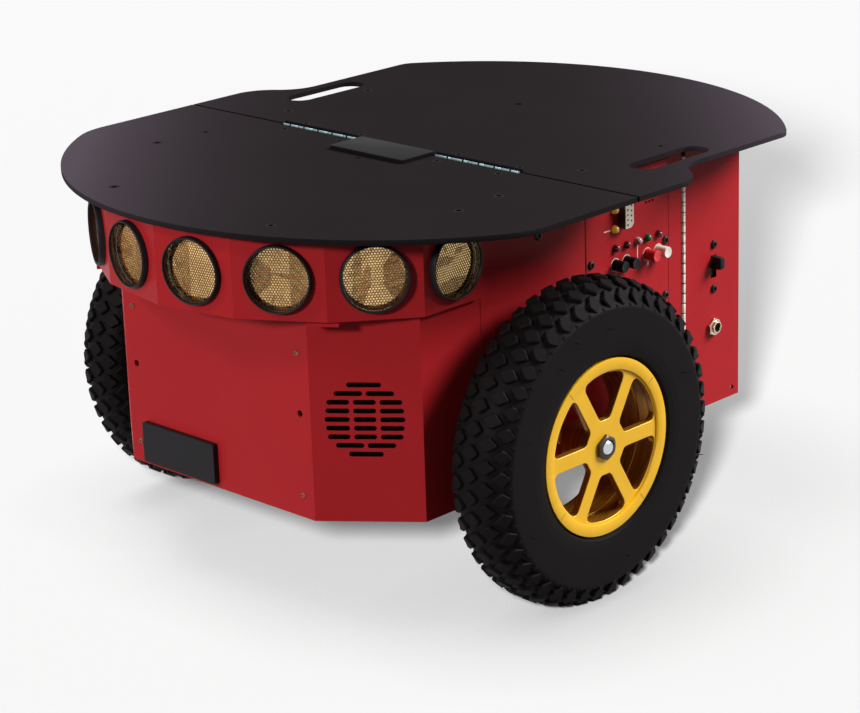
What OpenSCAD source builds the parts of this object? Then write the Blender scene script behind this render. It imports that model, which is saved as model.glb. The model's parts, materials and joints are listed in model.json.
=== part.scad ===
// Two-wheel differential-drive robot base: a folded sheet-metal body under a two-piece deck,
// a ring of eight range transducers, a tip-down nose, a side-hinged battery door,
// two spoked drive wheels and a rear caster.
// Origin on the ground under the middle of the deck. Front is -Y, the robot's left side is +X.

/* [Deck] */
// Length of the deck, front edge to rear edge
deck_l = 455; // [400:1:520]
// Thickness of the deck plates
deck_t = 3.2; // [2:0.1:5]
// How far the deck reaches past the outer face of each tyre
deck_over = 6; // [0:0.25:12]
// How far back from the front edge the front arc ends
front_arc_back = 114; // [80:1:130]
// How far forward from the rear edge the rear arc ends
rear_arc_back = 79; // [50:1:110]
// Step inwards of the deck sides behind the wheels
waist_step = 26; // [12:1:32]
// Length of the S-shaped step
waist_l = 48; // [36:1:80]
// Radius of the front corners
front_corner_r = 45; // [10:1:60]
// Radius of the rear corners
rear_corner_r = 15; // [5:1:30]
// Gap between the front and rear deck plates
slit = 0.8; // [0.6:0.1:2]
// Length of a carrying-handle slot
handle_l = 64; // [50:1:80]
// Width of a carrying-handle slot
handle_w = 19; // [15:1:24]

/* [Body] */
// Width of the body over its side panels
body_w = 262; // [220:1:320]
// Height of the body, underside to deck underside
body_h = 173.4; // [165:0.1:210]
// Thickness of the folded sheet
wall = 2; // [1.2:0.1:3]
// Height of the drive axle above the body's underside
axle_up = 29.1; // [27:0.1:40]
// Length of the motor bay, from the nose seam to the battery bay wall
motor_bay_l = 80; // [70:1:110]
// Distance from the nose seam back to the drive axle
axle_back = 49.2; // [30:0.1:52]
// Radius of a screw shank
screw_r = 1.5; // [1.2:0.1:2]
// Radius of a screw head
screw_head_r = 3.4; // [2.8:0.1:4]

/* [Batteries] */
// Length of one battery
batt_l = 149.5; // [120:0.5:185]
// Width of one battery
batt_w = 65; // [55:1:70]
// Height of one battery case
batt_h = 94; // [75:1:100]
// Gap round a battery
batt_gap = 2; // [1:0.5:4]

/* [Nose] */
// Length of the nose, seam to front face
nose_l = 89; // [75:1:120]
// Length of the straight side of the nose
nose_side_l = 49.3; // [35:0.1:60]
// Width taken off each side by the slanted corner panels
nose_slant_w = 50.5; // [40:0.5:60]
// Setback of the nose's front face behind the sonar ring
nose_setback = 39.5; // [30:0.5:50]

/* [Sonar ring] */
// Height of the ring
ring_h = 48.9; // [44:0.1:55]
// How far the ring stands out past each side panel
ring_over = 5; // [3:0.5:9]
// Setback of the ring behind the front edge of the deck
ring_setback = 5; // [2:0.5:20]
// Outer radius of a transducer bezel
bezel_r = 19.9; // [19:0.1:22.5]
// Radius of the transducer's open face
sonar_r = 18.4; // [15:0.1:18.6]
// How far a bezel stands out from the ring
bezel_out = 4; // [2:0.5:6]

/* [Drive wheels] */
// Diameter of a tyre
wheel_d = 197; // [162:1:240]
// Width of a tyre
tyre_w = 42; // [36:0.5:52]
// Gap between a side panel and its tyre
wheel_gap = 11.75; // [10:0.25:20]
// How far the rim's face sits inside the tyre's bulge
rim_inset = 1.8; // [0:0.1:4]
// Outer radius of the rim flange
flange_r = 53.5; // [46:0.5:62]
// Inner radius of the rim barrel
barrel_r = 46.2; // [40:0.1:52]
// Number of spokes
spokes = 6; // [4:1:8]
// Width of a spoke
spoke_w = 9; // [7:0.5:12]
// Radius of the wheel axle
axle_r = 6; // [5:0.5:8]
// Radius of the threaded axle end
stud_r = 4.5; // [3:0.5:5]

/* [Drive motors] */
// Radius of a motor can
motor_r = 21; // [17:0.5:24]
// Length of a motor can
motor_l = 55; // [40:1:60]
// Side of the square gearbox
gearbox_w = 46; // [40:1:56]
// Length of a gearbox
gearbox_l = 30; // [20:1:34]

/* [Caster] */
// Diameter of the caster wheel
caster_d = 75; // [62:1:92]
// Width of the caster wheel
caster_w = 22; // [18:1:28]
// Trail of the caster wheel behind its swivel
caster_trail = 26; // [20:1:32]
// Distance from the swivel axis to the body's rear face
caster_in = 18.6; // [15:0.1:30]

/* [Controls] */
// Width of the control panel
panel_w = 77; // [72:1:90]
// Height of the control panel
panel_h = 95; // [90:1:110]
// Radius of a push button
button_r = 3.5; // [2.5:0.1:4]
// How far a button stands out
button_out = 8.2; // [5:0.1:9]
// Travel of a button
button_travel = 2.5; // [1.5:0.1:3]
// Travel of the power switch
switch_travel = 6; // [4:0.5:7]
// Radius of the bore of the charge jack
jack_bore_r = 2.75; // [2:0.05:3.2]

/* [Fits] */
// Radial clearance of a pin or shaft that turns
run_gap = 0.05; // [0.03:0.01:0.08]
// Gap between pieces that move past each other
move_gap = 0.4; // [0.3:0.05:0.6]

/* [Hidden] */
$fn = 64;
eps = 0.02;

// Heights
wheel_r = wheel_d / 2;
axle_z = wheel_r;
body_z = axle_z - axle_up;
deck_z = body_z + body_h;
deck_top = deck_z + deck_t;
ring_top = deck_z - 0.3;
ring_z = ring_top - ring_h;
sonar_z = ring_z + ring_h / 2;
caster_r = caster_d / 2;
crown_z = caster_d + 4;
crown_t = 10;
bearing_t = 4;
mount_t = 4;
batt_floor_z = crown_z + crown_t + move_gap + bearing_t + mount_t;
batt_z = batt_floor_z + wall;
nose_top = ring_z - 0.6;

// Places along Y
front_y = -deck_l / 2;
ring_y = front_y + ring_setback;
nose_y = ring_y + nose_setback;
seam_y = nose_y + nose_l;
bay_y = seam_y + motor_bay_l;
batt_y = bay_y + wall + batt_gap;
body_rear = batt_y + batt_l + 3 + wall;
rear_y = deck_l / 2;
axle_y = seam_y + axle_back;
slit_y = seam_y + 69;
caster_y = body_rear - caster_in;
riser_y = caster_y - caster_trail - caster_r - 8 - wall;
door_axis_y = body_rear - 55.4;
panel_y = door_axis_y - 14.6 - panel_w;
waist_y = slit_y + 39;
handle_y = slit_y + 80;

// Places along X
half_w = body_w / 2;
in_x = half_w - wall;
ring_x = half_w + ring_over;
wheel_x = half_w + wheel_gap + tyre_w / 2;
deck_x = wheel_x + tyre_w / 2 + deck_over;
deck_rear_x = deck_x - waist_step;
handle_x = (half_w + deck_rear_x) / 2;

// Sheet flanges that the deck is screwed to
lip_w = 14;

// The ring's three front facets on each side share its half width equally
facet_angles = [10, 30, 50];
facet_w = ring_x / (cos(10) + cos(30) + cos(50));
function facet_end(n) = n == 0 ? [0, ring_y]
    : facet_end(n - 1) + facet_w * [cos(facet_angles[n - 1]), sin(facet_angles[n - 1])];
ring_end_y = seam_y - 1.5;
bezel_sleeve = 0.9;
side_facet_mid = [ring_x, (facet_end(3)[1] + ring_end_y) / 2];
// One entry a transducer on the left side: place on the outer face, and heading
sonar_spots = concat([for (n = [0:2])
    [(facet_end(n) + facet_end(n + 1)) / 2, facet_angles[n]]], [[side_facet_mid, 90]]);

// Deck hinges
deck_knuckle_r = 2.2;
deck_pin_r = 1;
hinge_x0 = 33;
hinge_l = 68;
hinge_knuckles = 5;
knuckle_l = hinge_l / hinge_knuckles;
leaf_t = 1.6;
leaf_w = 17;
slot_r = deck_knuckle_r + move_gap;

// Cable port and its cover
cover_w = 63;
cover_l = 28.5;
cover_back = 0.2;
cover_t = 2.4;
port_lip = 11.5;
port_front = 4.5;
plug_depth = 3;
plug_wall = 2;

// Front deck screws, from the seam and the middle line
front_screws = [
    [half_w - 1.5, seam_y - 14],
    [half_w - 5, seam_y + 23],
    [facet_end(1)[0] + 14, facet_end(1)[1] + 19]];
rear_screws = [[half_w - 5, slit_y + 26], [half_w - 5, slit_y + 98.6]];
side_screw = [seam_y + 50, ring_top - 25.6];
front_screw_l = 3.4;
screw_hole_r = screw_r + 0.6;

// Piano hinge of the battery door
door_axis_x = half_w - 0.4;
piano_r = 1.6;
piano_pin_r = 0.7;
piano_pitch = 6.3;
piano_leaf_w = 9;
piano_z = body_z + 4;
piano_n = floor((ring_top - piano_z - 2) / piano_pitch);
door_edge = 2;
door_top = ring_top;
door_z = batt_floor_z + 0.5;

// Control panel fittings: columns from the panel's front edge, rows from its lower edge
panel_z = ring_top - 3.4 - panel_h;
control_cols = [27.2, 37.4, 56.8, 67.2];
led_cols = [27.2, 37.4, 47.8, 56.8, 67.2];
button_row = panel_h - 56;
led_row = panel_h - 45.5;
led_r = 2.5;
led_out = 3.4;
serial_col = 33.8;
serial_row = panel_h - 25;
serial_w = 8;
serial_h = 17;
serial_out = 6;
collar_r = 4.6;
collar_t = 1.9;
plunger_r = 2;
switch_face_x = in_x - 8.2;
board_x = in_x - 12;
board_t = 1.6;
panel_screw_rows = [panel_z + 9, panel_z + 44];
panel_screw_spots = [for (y = [panel_y + 4.8, panel_y + panel_w - 3], z = panel_screw_rows) [y, z]];
panel_head_r = 2.6;
panel_head_t = 1.4;
// Status lights: place along Y, height, radius
led_spots = concat(
    [for (c = led_cols) [panel_y + c, panel_z + led_row, led_r]],
    [for (z = [33.5, 21.5]) [panel_y + 26.5, panel_z + panel_h - z, led_r]]);

// Power switch and charge jack on the door flange
switch_y = door_axis_y + 29.9;
switch_z = body_z + 93.6;
knob_h = 8;
knob_w = 5;
knob_out = 7.5;
switch_l = 36;
switch_mid = switch_z - switch_travel / 2;
switch_screw_z = [switch_mid - 14.5, switch_mid + 14.5];
jack_y = door_axis_y + 29.5;
jack_z = body_z + 51.3;
jack_out = 4;
jack_r = 4;

// Thumbscrews of the door, in from the right side panel
thumb_z = [batt_z + 26, deck_z - 32];
thumb_in = 8;
thumb_r = 2.2;
thumb_hole_r = 3.4;

// Nose outline
nose_pts = [[half_w, seam_y - move_gap], [half_w, seam_y - nose_side_l],
    [half_w - nose_slant_w, nose_y]];
slant_angle = atan2(nose_l - nose_side_l, nose_slant_w);
slant_mid = (nose_pts[1] + nose_pts[2]) / 2;
grille_z = body_z + 62;
grille_pitch = 5.2;
grille_slot = 3;
grille_half = [23, 22.4, 21.6, 17.2, 9.9];
grille_in = 1;
grille_rib = [6.5, 8.7];
nose_hinge_drop = 2.4;
nose_hinge_r = 2;
nose_pin_r = 1;
nose_knuckle_l = 24;
nose_fix_x = 71.8;
nose_fix_up = [13.8, 100];
nose_screw_r = 1.2;
nose_head_r = 1.7;
nose_head_t = 1.2;
nose_hole_up = 63.4;
nose_hole_r = 2.1;
nose_tab_w = 19.2;
nose_tab_out = 14.3;
nose_tab_along = 21;
port_cover_x = -33.6;
port_cover_up = 15.6;
port_cover_w = 64.5;
port_cover_h = 25.4;
port_cover_t = 4;
port_w = 44;
port_h = 14;

// Wheel sections, measured outwards from the tyre's middle plane
flange_a = tyre_w / 2 - rim_inset;
flange_t = 3;
bead_r = barrel_r + 3.8;
face_a = flange_a - 2;
face_t = 7;
hub_r = 17;
boss_r = 11;
nut_r = 8;
nut_seat = 3;

// Gearbox nose that carries the axle through the side panel
gear_boss_r = 12;
gear_boss_out = 5;
// A tall gearbox stands on the floor pan, a smaller one is centred on its axle
gearbox_z = max(axle_z - gearbox_w / 2, body_z + wall);
boss_hole_gap = 1.3;

// Caster
kingpin_r = 5;
fork_gap = 0.8;
fork_t = 3;
fork_x = caster_w / 2 + fork_gap;
caster_axle_r = 4;
mount_holes = [for (x = [-24, 24], y = [-24, 10]) [x, caster_y + y]];
mount_hole_r = 2.2;

// ---------- shared shapes ----------

module on_side(s) {
    if (s > 0) children();
    else mirror([1, 0, 0]) children();
}

module both_sides() {
    for (s = [1, -1]) on_side(s) children();
}

module box(low, high) {
    translate(low) cube(high - low);
}

// Outline points of the left side, front to rear, joined to their mirror image
function two_sided(pts) = concat(pts,
    [for (n = [len(pts) - 1:-1:0]) if (pts[n][0] > 0) [-pts[n][0], pts[n][1]]]);

// Cylinder along X from x0 to x1 at height z and place y
module rod_x(x0, x1, y, z, r) {
    translate([x0, y, z]) rotate([0, 90, 0]) cylinder(h = x1 - x0, r = r);
}

module rod_z(x, y, z0, z1, r) {
    translate([x, y, z0]) cylinder(h = z1 - z0, r = r);
}

module rounded(w, h, r) {
    square([w - 2 * r, h], center = true);
    square([w, h - 2 * r], center = true);
    for (x = [-1, 1], y = [-1, 1]) translate([x * (w / 2 - r), y * (h / 2 - r)]) circle(r);
}

// Flat plate standing on the side face of the body, drawn as (Y, Z)
module side_plate(x, t) {
    translate([x, 0, 0]) rotate([90, 0, 90]) linear_extrude(t) children();
}

// ---------- deck ----------

module corner_cut(centre, r, p1, p2) {
    difference() {
        polygon([centre, p1, p1 + p2 - centre, p2]);
        translate(centre) circle(r);
    }
}

module half_outline() {
    fr = (pow(deck_x, 2) + pow(front_arc_back, 2)) / (2 * front_arc_back);
    fc = [0, front_y + fr];
    rr = (pow(deck_rear_x, 2) + pow(rear_arc_back, 2)) / (2 * rear_arc_back);
    rc = [0, rear_y - rr];
    sr = (pow(waist_l, 2) + pow(waist_step, 2)) / (4 * waist_step);
    mid = [deck_x - waist_step / 2, waist_y + waist_l / 2];
    f_in = [deck_x - front_corner_r,
        fc[1] - sqrt(pow(fr - front_corner_r, 2) - pow(deck_x - front_corner_r, 2))];
    r_in = [deck_rear_x - rear_corner_r,
        rc[1] + sqrt(pow(rr - rear_corner_r, 2) - pow(deck_rear_x - rear_corner_r, 2))];
    difference() {
        intersection() {
            union() {
                translate(fc) circle(fr);
                translate(fc) square(deck_l);
            }
            union() {
                translate(rc) circle(rr);
                translate([0, rc[1] - deck_l]) square(deck_l);
            }
            union() {
                translate([0, front_y]) square([deck_x, waist_y - front_y]);
                translate([0, waist_y]) square([deck_rear_x, rear_y - waist_y]);
                difference() {
                    union() {
                        polygon([[0, waist_y], [deck_x, waist_y], mid,
                            [deck_rear_x, waist_y + waist_l], [0, waist_y + waist_l]]);
                        intersection() {
                            translate([deck_x - sr, waist_y]) circle(sr);
                            translate([deck_rear_x, waist_y]) square([waist_step, waist_l / 2]);
                        }
                    }
                    translate([deck_rear_x + sr, waist_y + waist_l]) circle(sr);
                }
            }
        }
        corner_cut(f_in, front_corner_r, [deck_x, f_in[1]],
            fc + (f_in - fc) * fr / norm(f_in - fc));
        corner_cut(r_in, rear_corner_r, [deck_rear_x, r_in[1]],
            rc + (r_in - rc) * rr / norm(r_in - rc));
    }
}

module deck_outline() {
    half_outline();
    mirror([1, 0, 0]) half_outline();
}

module hinge_slots() {
    both_sides() box([hinge_x0 - move_gap, slit_y - slot_r, deck_z - 1],
        [hinge_x0 + hinge_l + move_gap, slit_y + slot_r, deck_top + 1]);
}

module countersunk_hole(p) {
    rod_z(p[0], p[1], deck_z - 1, deck_top + 1, screw_r);
    rod_z(p[0], p[1], deck_top - 2, deck_top + 1, screw_head_r);
}

module front_deck() {
    color("#35323a") difference() {
        translate([0, 0, deck_z]) linear_extrude(deck_t) difference() {
            intersection() {
                deck_outline();
                translate([-deck_x - 1, front_y - 1])
                    square([2 * deck_x + 2, slit_y - slit / 2 - front_y + 1]);
            }
            translate([port_lip - cover_w / 2, slit_y - cover_l + port_front])
                square([cover_w - 2 * port_lip, cover_l - port_front]);
            translate([-1, slit_y - cover_l - 5.3]) circle(1.8);
        }
        hinge_slots();
        both_sides() for (p = front_screws) countersunk_hole(p);
        both_sides() leaf_screws(-1, 0);
    }
}

module rear_deck() {
    color("#35323a") difference() {
        translate([0, 0, deck_z]) linear_extrude(deck_t) difference() {
            intersection() {
                deck_outline();
                translate([-deck_x - 1, slit_y + slit / 2])
                    square([2 * deck_x + 2, rear_y - slit_y]);
            }
            for (s = [-1, 1]) translate([s * handle_x, handle_y])
                rounded(handle_w, handle_l, handle_w / 2 - eps);
        }
        hinge_slots();
        both_sides() for (p = rear_screws) countersunk_hole(p);
        both_sides() leaf_screws(1, 0);
        rod_z(-18, slit_y + 129, deck_top - 1, deck_top + 1, 2.5);
    }
}

// Screws through one hinge leaf; s is -1 for the front leaf
module leaf_screws(s, shrink) {
    for (x = [hinge_x0 + 9, hinge_x0 + hinge_l - 9]) {
        rod_z(x, slit_y + s * 9.5, deck_z - leaf_t - 1, deck_top - 1, screw_r - shrink);
        rod_z(x, slit_y + s * 9.5, deck_top - 2, deck_top + (shrink > 0 ? 0 : 1), 2.8 - shrink);
    }
}

// One deck hinge leaf; s is -1 for the front leaf, first is its first knuckle
module deck_leaf(s, first) {
    y0 = s > 0 ? slit_y + deck_knuckle_r * 0.4 : slit_y - leaf_w;
    y1 = s > 0 ? slit_y + leaf_w : slit_y - deck_knuckle_r * 0.4;
    difference() {
        union() {
            box([hinge_x0, y0, deck_z - leaf_t], [hinge_x0 + hinge_l, y1, deck_z]);
            for (n = [first:2:hinge_knuckles - 1]) {
                x0 = hinge_x0 + n * knuckle_l + move_gap / 2;
                x1 = x0 + knuckle_l - move_gap;
                rod_x(x0, x1, slit_y, deck_top, deck_knuckle_r);
                box([x0, min(s * deck_knuckle_r * 0.4, s * deck_knuckle_r) + slit_y, deck_z - leaf_t],
                    [x1, max(s * deck_knuckle_r * 0.4, s * deck_knuckle_r) + slit_y, deck_top]);
            }
        }
        if (s < 0) rod_x(hinge_x0 - 1, hinge_x0 + hinge_l + 1, slit_y, deck_top, deck_pin_r + run_gap);
        leaf_screws(s, 0);
    }
}

module rear_deck_hinges() {
    color("#b9bcc4") both_sides() {
        deck_leaf(1, 0);
        rod_x(hinge_x0 + move_gap / 2, hinge_x0 + hinge_l - move_gap / 2, slit_y, deck_top, deck_pin_r);
    }
}

module front_deck_hinges() {
    color("#b9bcc4") both_sides() deck_leaf(-1, 1);
}

module deck_screw(p, l) {
    rod_z(p[0], p[1], deck_z - l, deck_top - 1, screw_r);
    difference() {
        rod_z(p[0], p[1], deck_top - 2, deck_top, screw_head_r);
        translate([p[0], p[1], deck_top - 1.2]) cylinder(h = 3, r = 1.5, $fn = 6);
    }
}

module front_deck_screws() {
    color("#17161a") both_sides() {
        for (p = front_screws) deck_screw(p, front_screw_l);
        leaf_screws(-1, eps);
    }
}

module access_cover() {
    y0 = slit_y - cover_l;
    y1 = slit_y - cover_back;
    plug_x = cover_w / 2 - port_lip - move_gap;
    plug_y = y0 + port_front + move_gap;
    plug_back = y1 - port_front;
    color("#141316") {
        translate([0, (y0 + y1) / 2, deck_top]) linear_extrude(cover_t)
            rounded(cover_w, y1 - y0, 1.5);
        difference() {
            box([-plug_x, plug_y, deck_top - plug_depth], [plug_x, plug_back, deck_top + eps]);
            box([plug_wall - plug_x, plug_y + plug_wall, deck_top - plug_depth - 1],
                [plug_x - plug_wall, plug_back - plug_wall, deck_top]);
        }
    }
}

// ---------- body ----------

module floor_pan() {
    color("#a81e28") difference() {
        box([-in_x, seam_y, body_z], [in_x, riser_y + wall, body_z + wall]);
        for (y = [seam_y + 14, riser_y - 14]) both_sides()
            rod_z(in_x - 20, y, body_z - 1, body_z + wall + 1, 3);
    }
    color("#a81e28") nose_knuckles([-2, 0, 2], 1);
    color("#b9bcc4") rod_x(-2.5 * nose_knuckle_l + move_gap, 2.5 * nose_knuckle_l - move_gap, seam_y,
        body_z - nose_hinge_drop, nose_pin_r);
}

// Knuckles of the nose hinge; s is 1 for the chassis and -1 for the nose
module nose_knuckles(places, s) {
    z = body_z - nose_hinge_drop;
    for (n = places) {
        x0 = (n - 0.5) * nose_knuckle_l + move_gap / 2;
        x1 = x0 + nose_knuckle_l - move_gap;
        difference() {
            union() {
                rod_x(x0, x1, seam_y, z, nose_hinge_r);
                box([x0, seam_y + min(s * move_gap, s * 7), z - nose_hinge_r],
                    [x1, seam_y + max(s * move_gap, s * 7), body_z]);
            }
            if (s < 0) rod_x(x0 - 1, x1 + 1, seam_y, z, nose_pin_r + run_gap);
        }
    }
}

module floor_riser() {
    color("#a81e28") box([-in_x, riser_y, body_z + wall], [in_x, riser_y + wall, batt_floor_z]);
}

module battery_floor() {
    color("#a81e28") difference() {
        box([-in_x, bay_y + wall, batt_floor_z], [in_x, body_rear - wall - 0.3, batt_z]);
        for (p = mount_holes) rod_z(p[0], p[1], batt_floor_z - 1, batt_z + 1, mount_hole_r);
        // Corner left open for the door hinge, the switch and the jack
        box([in_x - 20, door_axis_y - 1, batt_floor_z - 1], [in_x + 1, body_rear, batt_z + 1]);
        box([in_x - 1 - move_gap, door_axis_y - door_edge - piano_leaf_w - move_gap, batt_floor_z - 1],
            [in_x + 1, door_axis_y, batt_z + 1]);
    }
}

module battery_bay_wall() {
    color("#a81e28") difference() {
        box([-in_x, bay_y, body_z + wall], [in_x, bay_y + wall, batt_z + batt_h + 8]);
        for (x = [-batt_w, 0, batt_w])
            translate([x, bay_y - 1, batt_z + batt_h + 2]) rotate([-90, 0, 0]) cylinder(h = 5, r = 4);
    }
}

module front_bulkhead() {
    color("#a81e28") difference() {
        box([-in_x, seam_y, body_z + wall], [in_x, seam_y + wall, ring_z]);
        translate([0, seam_y - 1, ring_z - 26]) rotate([-90, 0, 0])
            linear_extrude(wall + 2) rounded(42, 22, 6);
    }
}

// Side panel drawn on the left side; rear_end is where it stops
module side_sheet(rear_end) {
    difference() {
        union() {
            side_plate(in_x, wall) difference() {
                translate([seam_y, body_z]) square([rear_end - seam_y, deck_z - body_z]);
                translate([axle_y, axle_z]) circle(gear_boss_r + boss_hole_gap);
            }
            box([in_x - lip_w, seam_y, deck_z - wall], [in_x, rear_end, deck_z]);
        }
        box([in_x - lip_w - 1, seam_y - 1, ring_top], [half_w + 1, slit_y, deck_z + 1]);
        rod_z(front_screws[1][0], front_screws[1][1], deck_z - 5, deck_z + 1, screw_hole_r);
        rod_x(in_x - 1, half_w + 1, side_screw[0], side_screw[1], screw_r);
        for (p = rear_screws) rod_z(p[0], p[1], deck_z - 5, deck_z + 1, screw_r);
    }
}

module left_side_panel() {
    y0 = panel_y - 0.4;
    y1 = panel_y + panel_w + 0.4;
    color("#a81e28") difference() {
        union() {
            difference() {
                side_sheet(door_axis_y - door_edge);
                box([in_x - 0.5, y0, panel_z - 0.4], [half_w + 1, y1, panel_z + panel_h + 0.4]);
            }
            // Ears behind the panel's corners take its screws
            for (ear = [[y0 - 5, y0 + 9], [y1 - 5, y1 + 2.6]], p = [0, 1])
                box([in_x - wall, ear[0], panel_screw_rows[p] - 6], [in_x, ear[1], panel_screw_rows[p] + 6]);
        }
        for (p = panel_screw_spots) rod_x(in_x - 8, half_w + 8, p[0], p[1], screw_r);
    }
}

module right_side_panel() {
    lip_y = body_rear - wall - 0.3;
    color("#a81e28") mirror([1, 0, 0]) {
        side_sheet(lip_y);
        difference() {
            box([in_x - 17, lip_y - wall, batt_z], [in_x, lip_y, deck_z - wall]);
            for (z = thumb_z) rod_y(in_x - thumb_in, lip_y - wall - 1, lip_y + 1, z, thumb_hole_r);
        }
    }
}

module body_hinge_leaf() {
    color("#cfc6b2") {
        piano_leaf(-1, 0);
        rod_z(door_axis_x, door_axis_y, piano_z + 0.2, piano_z + piano_n * piano_pitch - 0.2, piano_pin_r);
    }
}

// One leaf of the piano hinge; s is -1 for the body side
module piano_leaf(s, first) {
    edge = door_axis_y + s * door_edge;
    difference() {
        union() {
            box([in_x - 1, min(edge, edge + s * piano_leaf_w), piano_z],
                [in_x, max(edge, edge + s * piano_leaf_w), piano_z + piano_n * piano_pitch]);
            for (n = [first:2:piano_n - 1]) {
                z0 = piano_z + n * piano_pitch + 0.2;
                z1 = z0 + piano_pitch - 0.4;
                rod_z(door_axis_x, door_axis_y, z0, z1, piano_r);
                box([in_x - 1, min(door_axis_y, edge), z0], [in_x + 0.6, max(door_axis_y, edge), z1]);
            }
        }
        if (s > 0) rod_z(door_axis_x, door_axis_y, piano_z - 1, piano_z + piano_n * piano_pitch + 1,
            piano_pin_r + run_gap);
    }
}

module chassis_screws() {
    color("#17161a") {
        both_sides() {
            for (p = rear_screws) deck_screw(p, 5);
            leaf_screws(1, eps);
        }
        for (p = panel_screw_spots) {
            rod_x(in_x - 4, half_w, p[0], p[1], screw_r);
            rod_x(half_w, half_w + panel_head_t, p[0], p[1], panel_head_r);
        }
        // Screw and nut high on each side panel
        both_sides() {
            rod_x(in_x - 4, half_w, side_screw[0], side_screw[1], screw_r);
            rod_x(half_w, half_w + panel_head_t, side_screw[0], side_screw[1], panel_head_r);
            translate([in_x - 2.4, side_screw[0], side_screw[1]]) rotate([0, 90, 0])
                cylinder(h = 2.4, r = 3.2, $fn = 6);
        }
    }
}

// ---------- sonar ring ----------

module ring_shape(inset) {
    polygon(two_sided(concat(
        [for (n = [0:3]) facet_end(n) + (n == 0 ? [0, inset / cos(10)]
            : n == 3 ? [-inset, inset * tan(20)]
            : inset * [-sin(20 * n), cos(20 * n)] / cos(10))],
        [[ring_x - inset, ring_end_y]])));
}

module sonar_ring() {
    color("#a81e28") difference() {
        union() {
            translate([0, 0, ring_z]) linear_extrude(ring_h) difference() {
                ring_shape(0);
                ring_shape(wall);
                translate([-ring_x + wall, ring_end_y - 1]) square([2 * (ring_x - wall), 2]);
            }
            // Tabs under the front deck screws
            both_sides() {
                box([ring_x - wall - 13, front_screws[0][1] - 7, ring_top - wall],
                    [ring_x - wall + eps, front_screws[0][1] + 7, ring_top]);
                translate([front_screws[2][0], front_screws[2][1], ring_top - wall]) rotate([0, 0, 30])
                    box([-7, -9, 0], [7, 6, wall]);
            }
        }
        both_sides() for (n = [0, 2])
            rod_z(front_screws[n][0], front_screws[n][1], ring_top - 5, ring_top + 1, screw_hole_r);
        at_sonars() rotate([90, 0, 0]) translate([0, 0, -wall - 1])
            cylinder(h = wall + 2, r = sonar_r + bezel_sleeve + 0.1);
    }
}

module at_sonars() {
    both_sides() for (spot = sonar_spots)
        translate([spot[0][0], spot[0][1], sonar_z]) rotate([0, 0, spot[1]]) children();
}

module sonar_tray() {
    color("#a81e28") difference() {
        translate([0, 0, ring_z]) linear_extrude(1.6) difference() {
            union() {
                ring_shape(wall);
                translate([-ring_x + wall, ring_end_y - eps])
                    square([2 * (ring_x - wall), seam_y - ring_end_y + eps]);
                // Tongue that lies on the bulkhead between the side panels
                translate([-in_x, seam_y - eps]) square([2 * in_x, wall + eps]);
            }
            translate([0, seam_y - 26]) rounded(42, 22, 6);
        }
    }
}

module sonar_bezels() {
    color("#121113") at_sonars() rotate([-90, 0, 0]) rotate_extrude() union() {
        translate([sonar_r, -bezel_out]) square([bezel_r - sonar_r, bezel_out]);
        translate([sonar_r, -eps]) square([bezel_sleeve, wall + 1 + eps]);
    }
}

module sonar_meshes() {
    color("#c9a063") at_sonars() rotate([-90, 0, 0])
        translate([0, 0, wall + 1]) cylinder(h = 0.6, r = sonar_r + bezel_sleeve);
}

module sonar_transducers() {
    color("#2a2724") at_sonars() rotate([-90, 0, 0]) {
        translate([0, 0, wall + 1.6]) cylinder(h = 8, r = sonar_r + bezel_sleeve);
        translate([0, 0, wall + 9.6]) cylinder(h = 3, r = 8);
    }
}

// ---------- batteries and electronics ----------

module battery(n) {
    x = n * (batt_w + batt_gap);
    color("#3a4048") box([x - batt_w / 2, batt_y, batt_z],
        [x + batt_w / 2, batt_y + batt_l, batt_z + batt_h]);
    color("#c03028") for (t = [-1, 1])
        box([x + t * 22 - 3, batt_y + 6, batt_z + batt_h],
            [x + t * 22 + 3, batt_y + 14, batt_z + batt_h + 6]);
}

module battery_left() { battery(1); }
module battery_middle() { battery(0); }
module battery_right() { battery(-1); }

module gearbox() {
    difference() {
        union() {
            box([in_x - gearbox_l, axle_y - gearbox_w / 2, gearbox_z],
                [in_x, axle_y + gearbox_w / 2, gearbox_z + gearbox_w]);
            rod_x(in_x - eps, half_w + gear_boss_out, axle_y, axle_z, gear_boss_r);
        }
        rod_x(in_x - gearbox_l + 7, half_w + gear_boss_out + 1, axle_y, axle_z, axle_r + run_gap);
    }
}

module left_gearbox() { color("#8d9096") gearbox(); }
module right_gearbox() { color("#8d9096") mirror([1, 0, 0]) gearbox(); }

module drive_motor() {
    x1 = in_x - gearbox_l;
    rod_x(x1 - motor_l, x1, axle_y, axle_z, motor_r);
    rod_x(x1 - motor_l - 12, x1 - motor_l, axle_y, axle_z, motor_r - 4);
}

module left_drive_motor() { color("#55585e") drive_motor(); }
module right_drive_motor() { color("#55585e") mirror([1, 0, 0]) drive_motor(); }

module motor_power_board() {
    y = bay_y - 8;
    z0 = gearbox_z + gearbox_w + 6;
    color("#1f5a34") box([-80, y, z0], [80, y + 1.6, z0 + 78]);
    color("#c8b070") for (x = [-72, 72], z = [z0 + 8, z0 + 70])
        translate([x, y + 1.6 - eps, z]) rotate([-90, 0, 0]) cylinder(h = bay_y - y - 1.6 + eps, r = 3);
    color("#26262a") {
        for (x = [-50, -10, 30]) box([x - 9, y - 9, z0 + 40], [x + 9, y + eps, z0 + 62]);
        for (x = [-60, -35, 50]) translate([x, y + eps, z0 + 18]) rotate([90, 0, 0]) cylinder(h = 18, r = 8);
    }
}

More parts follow.
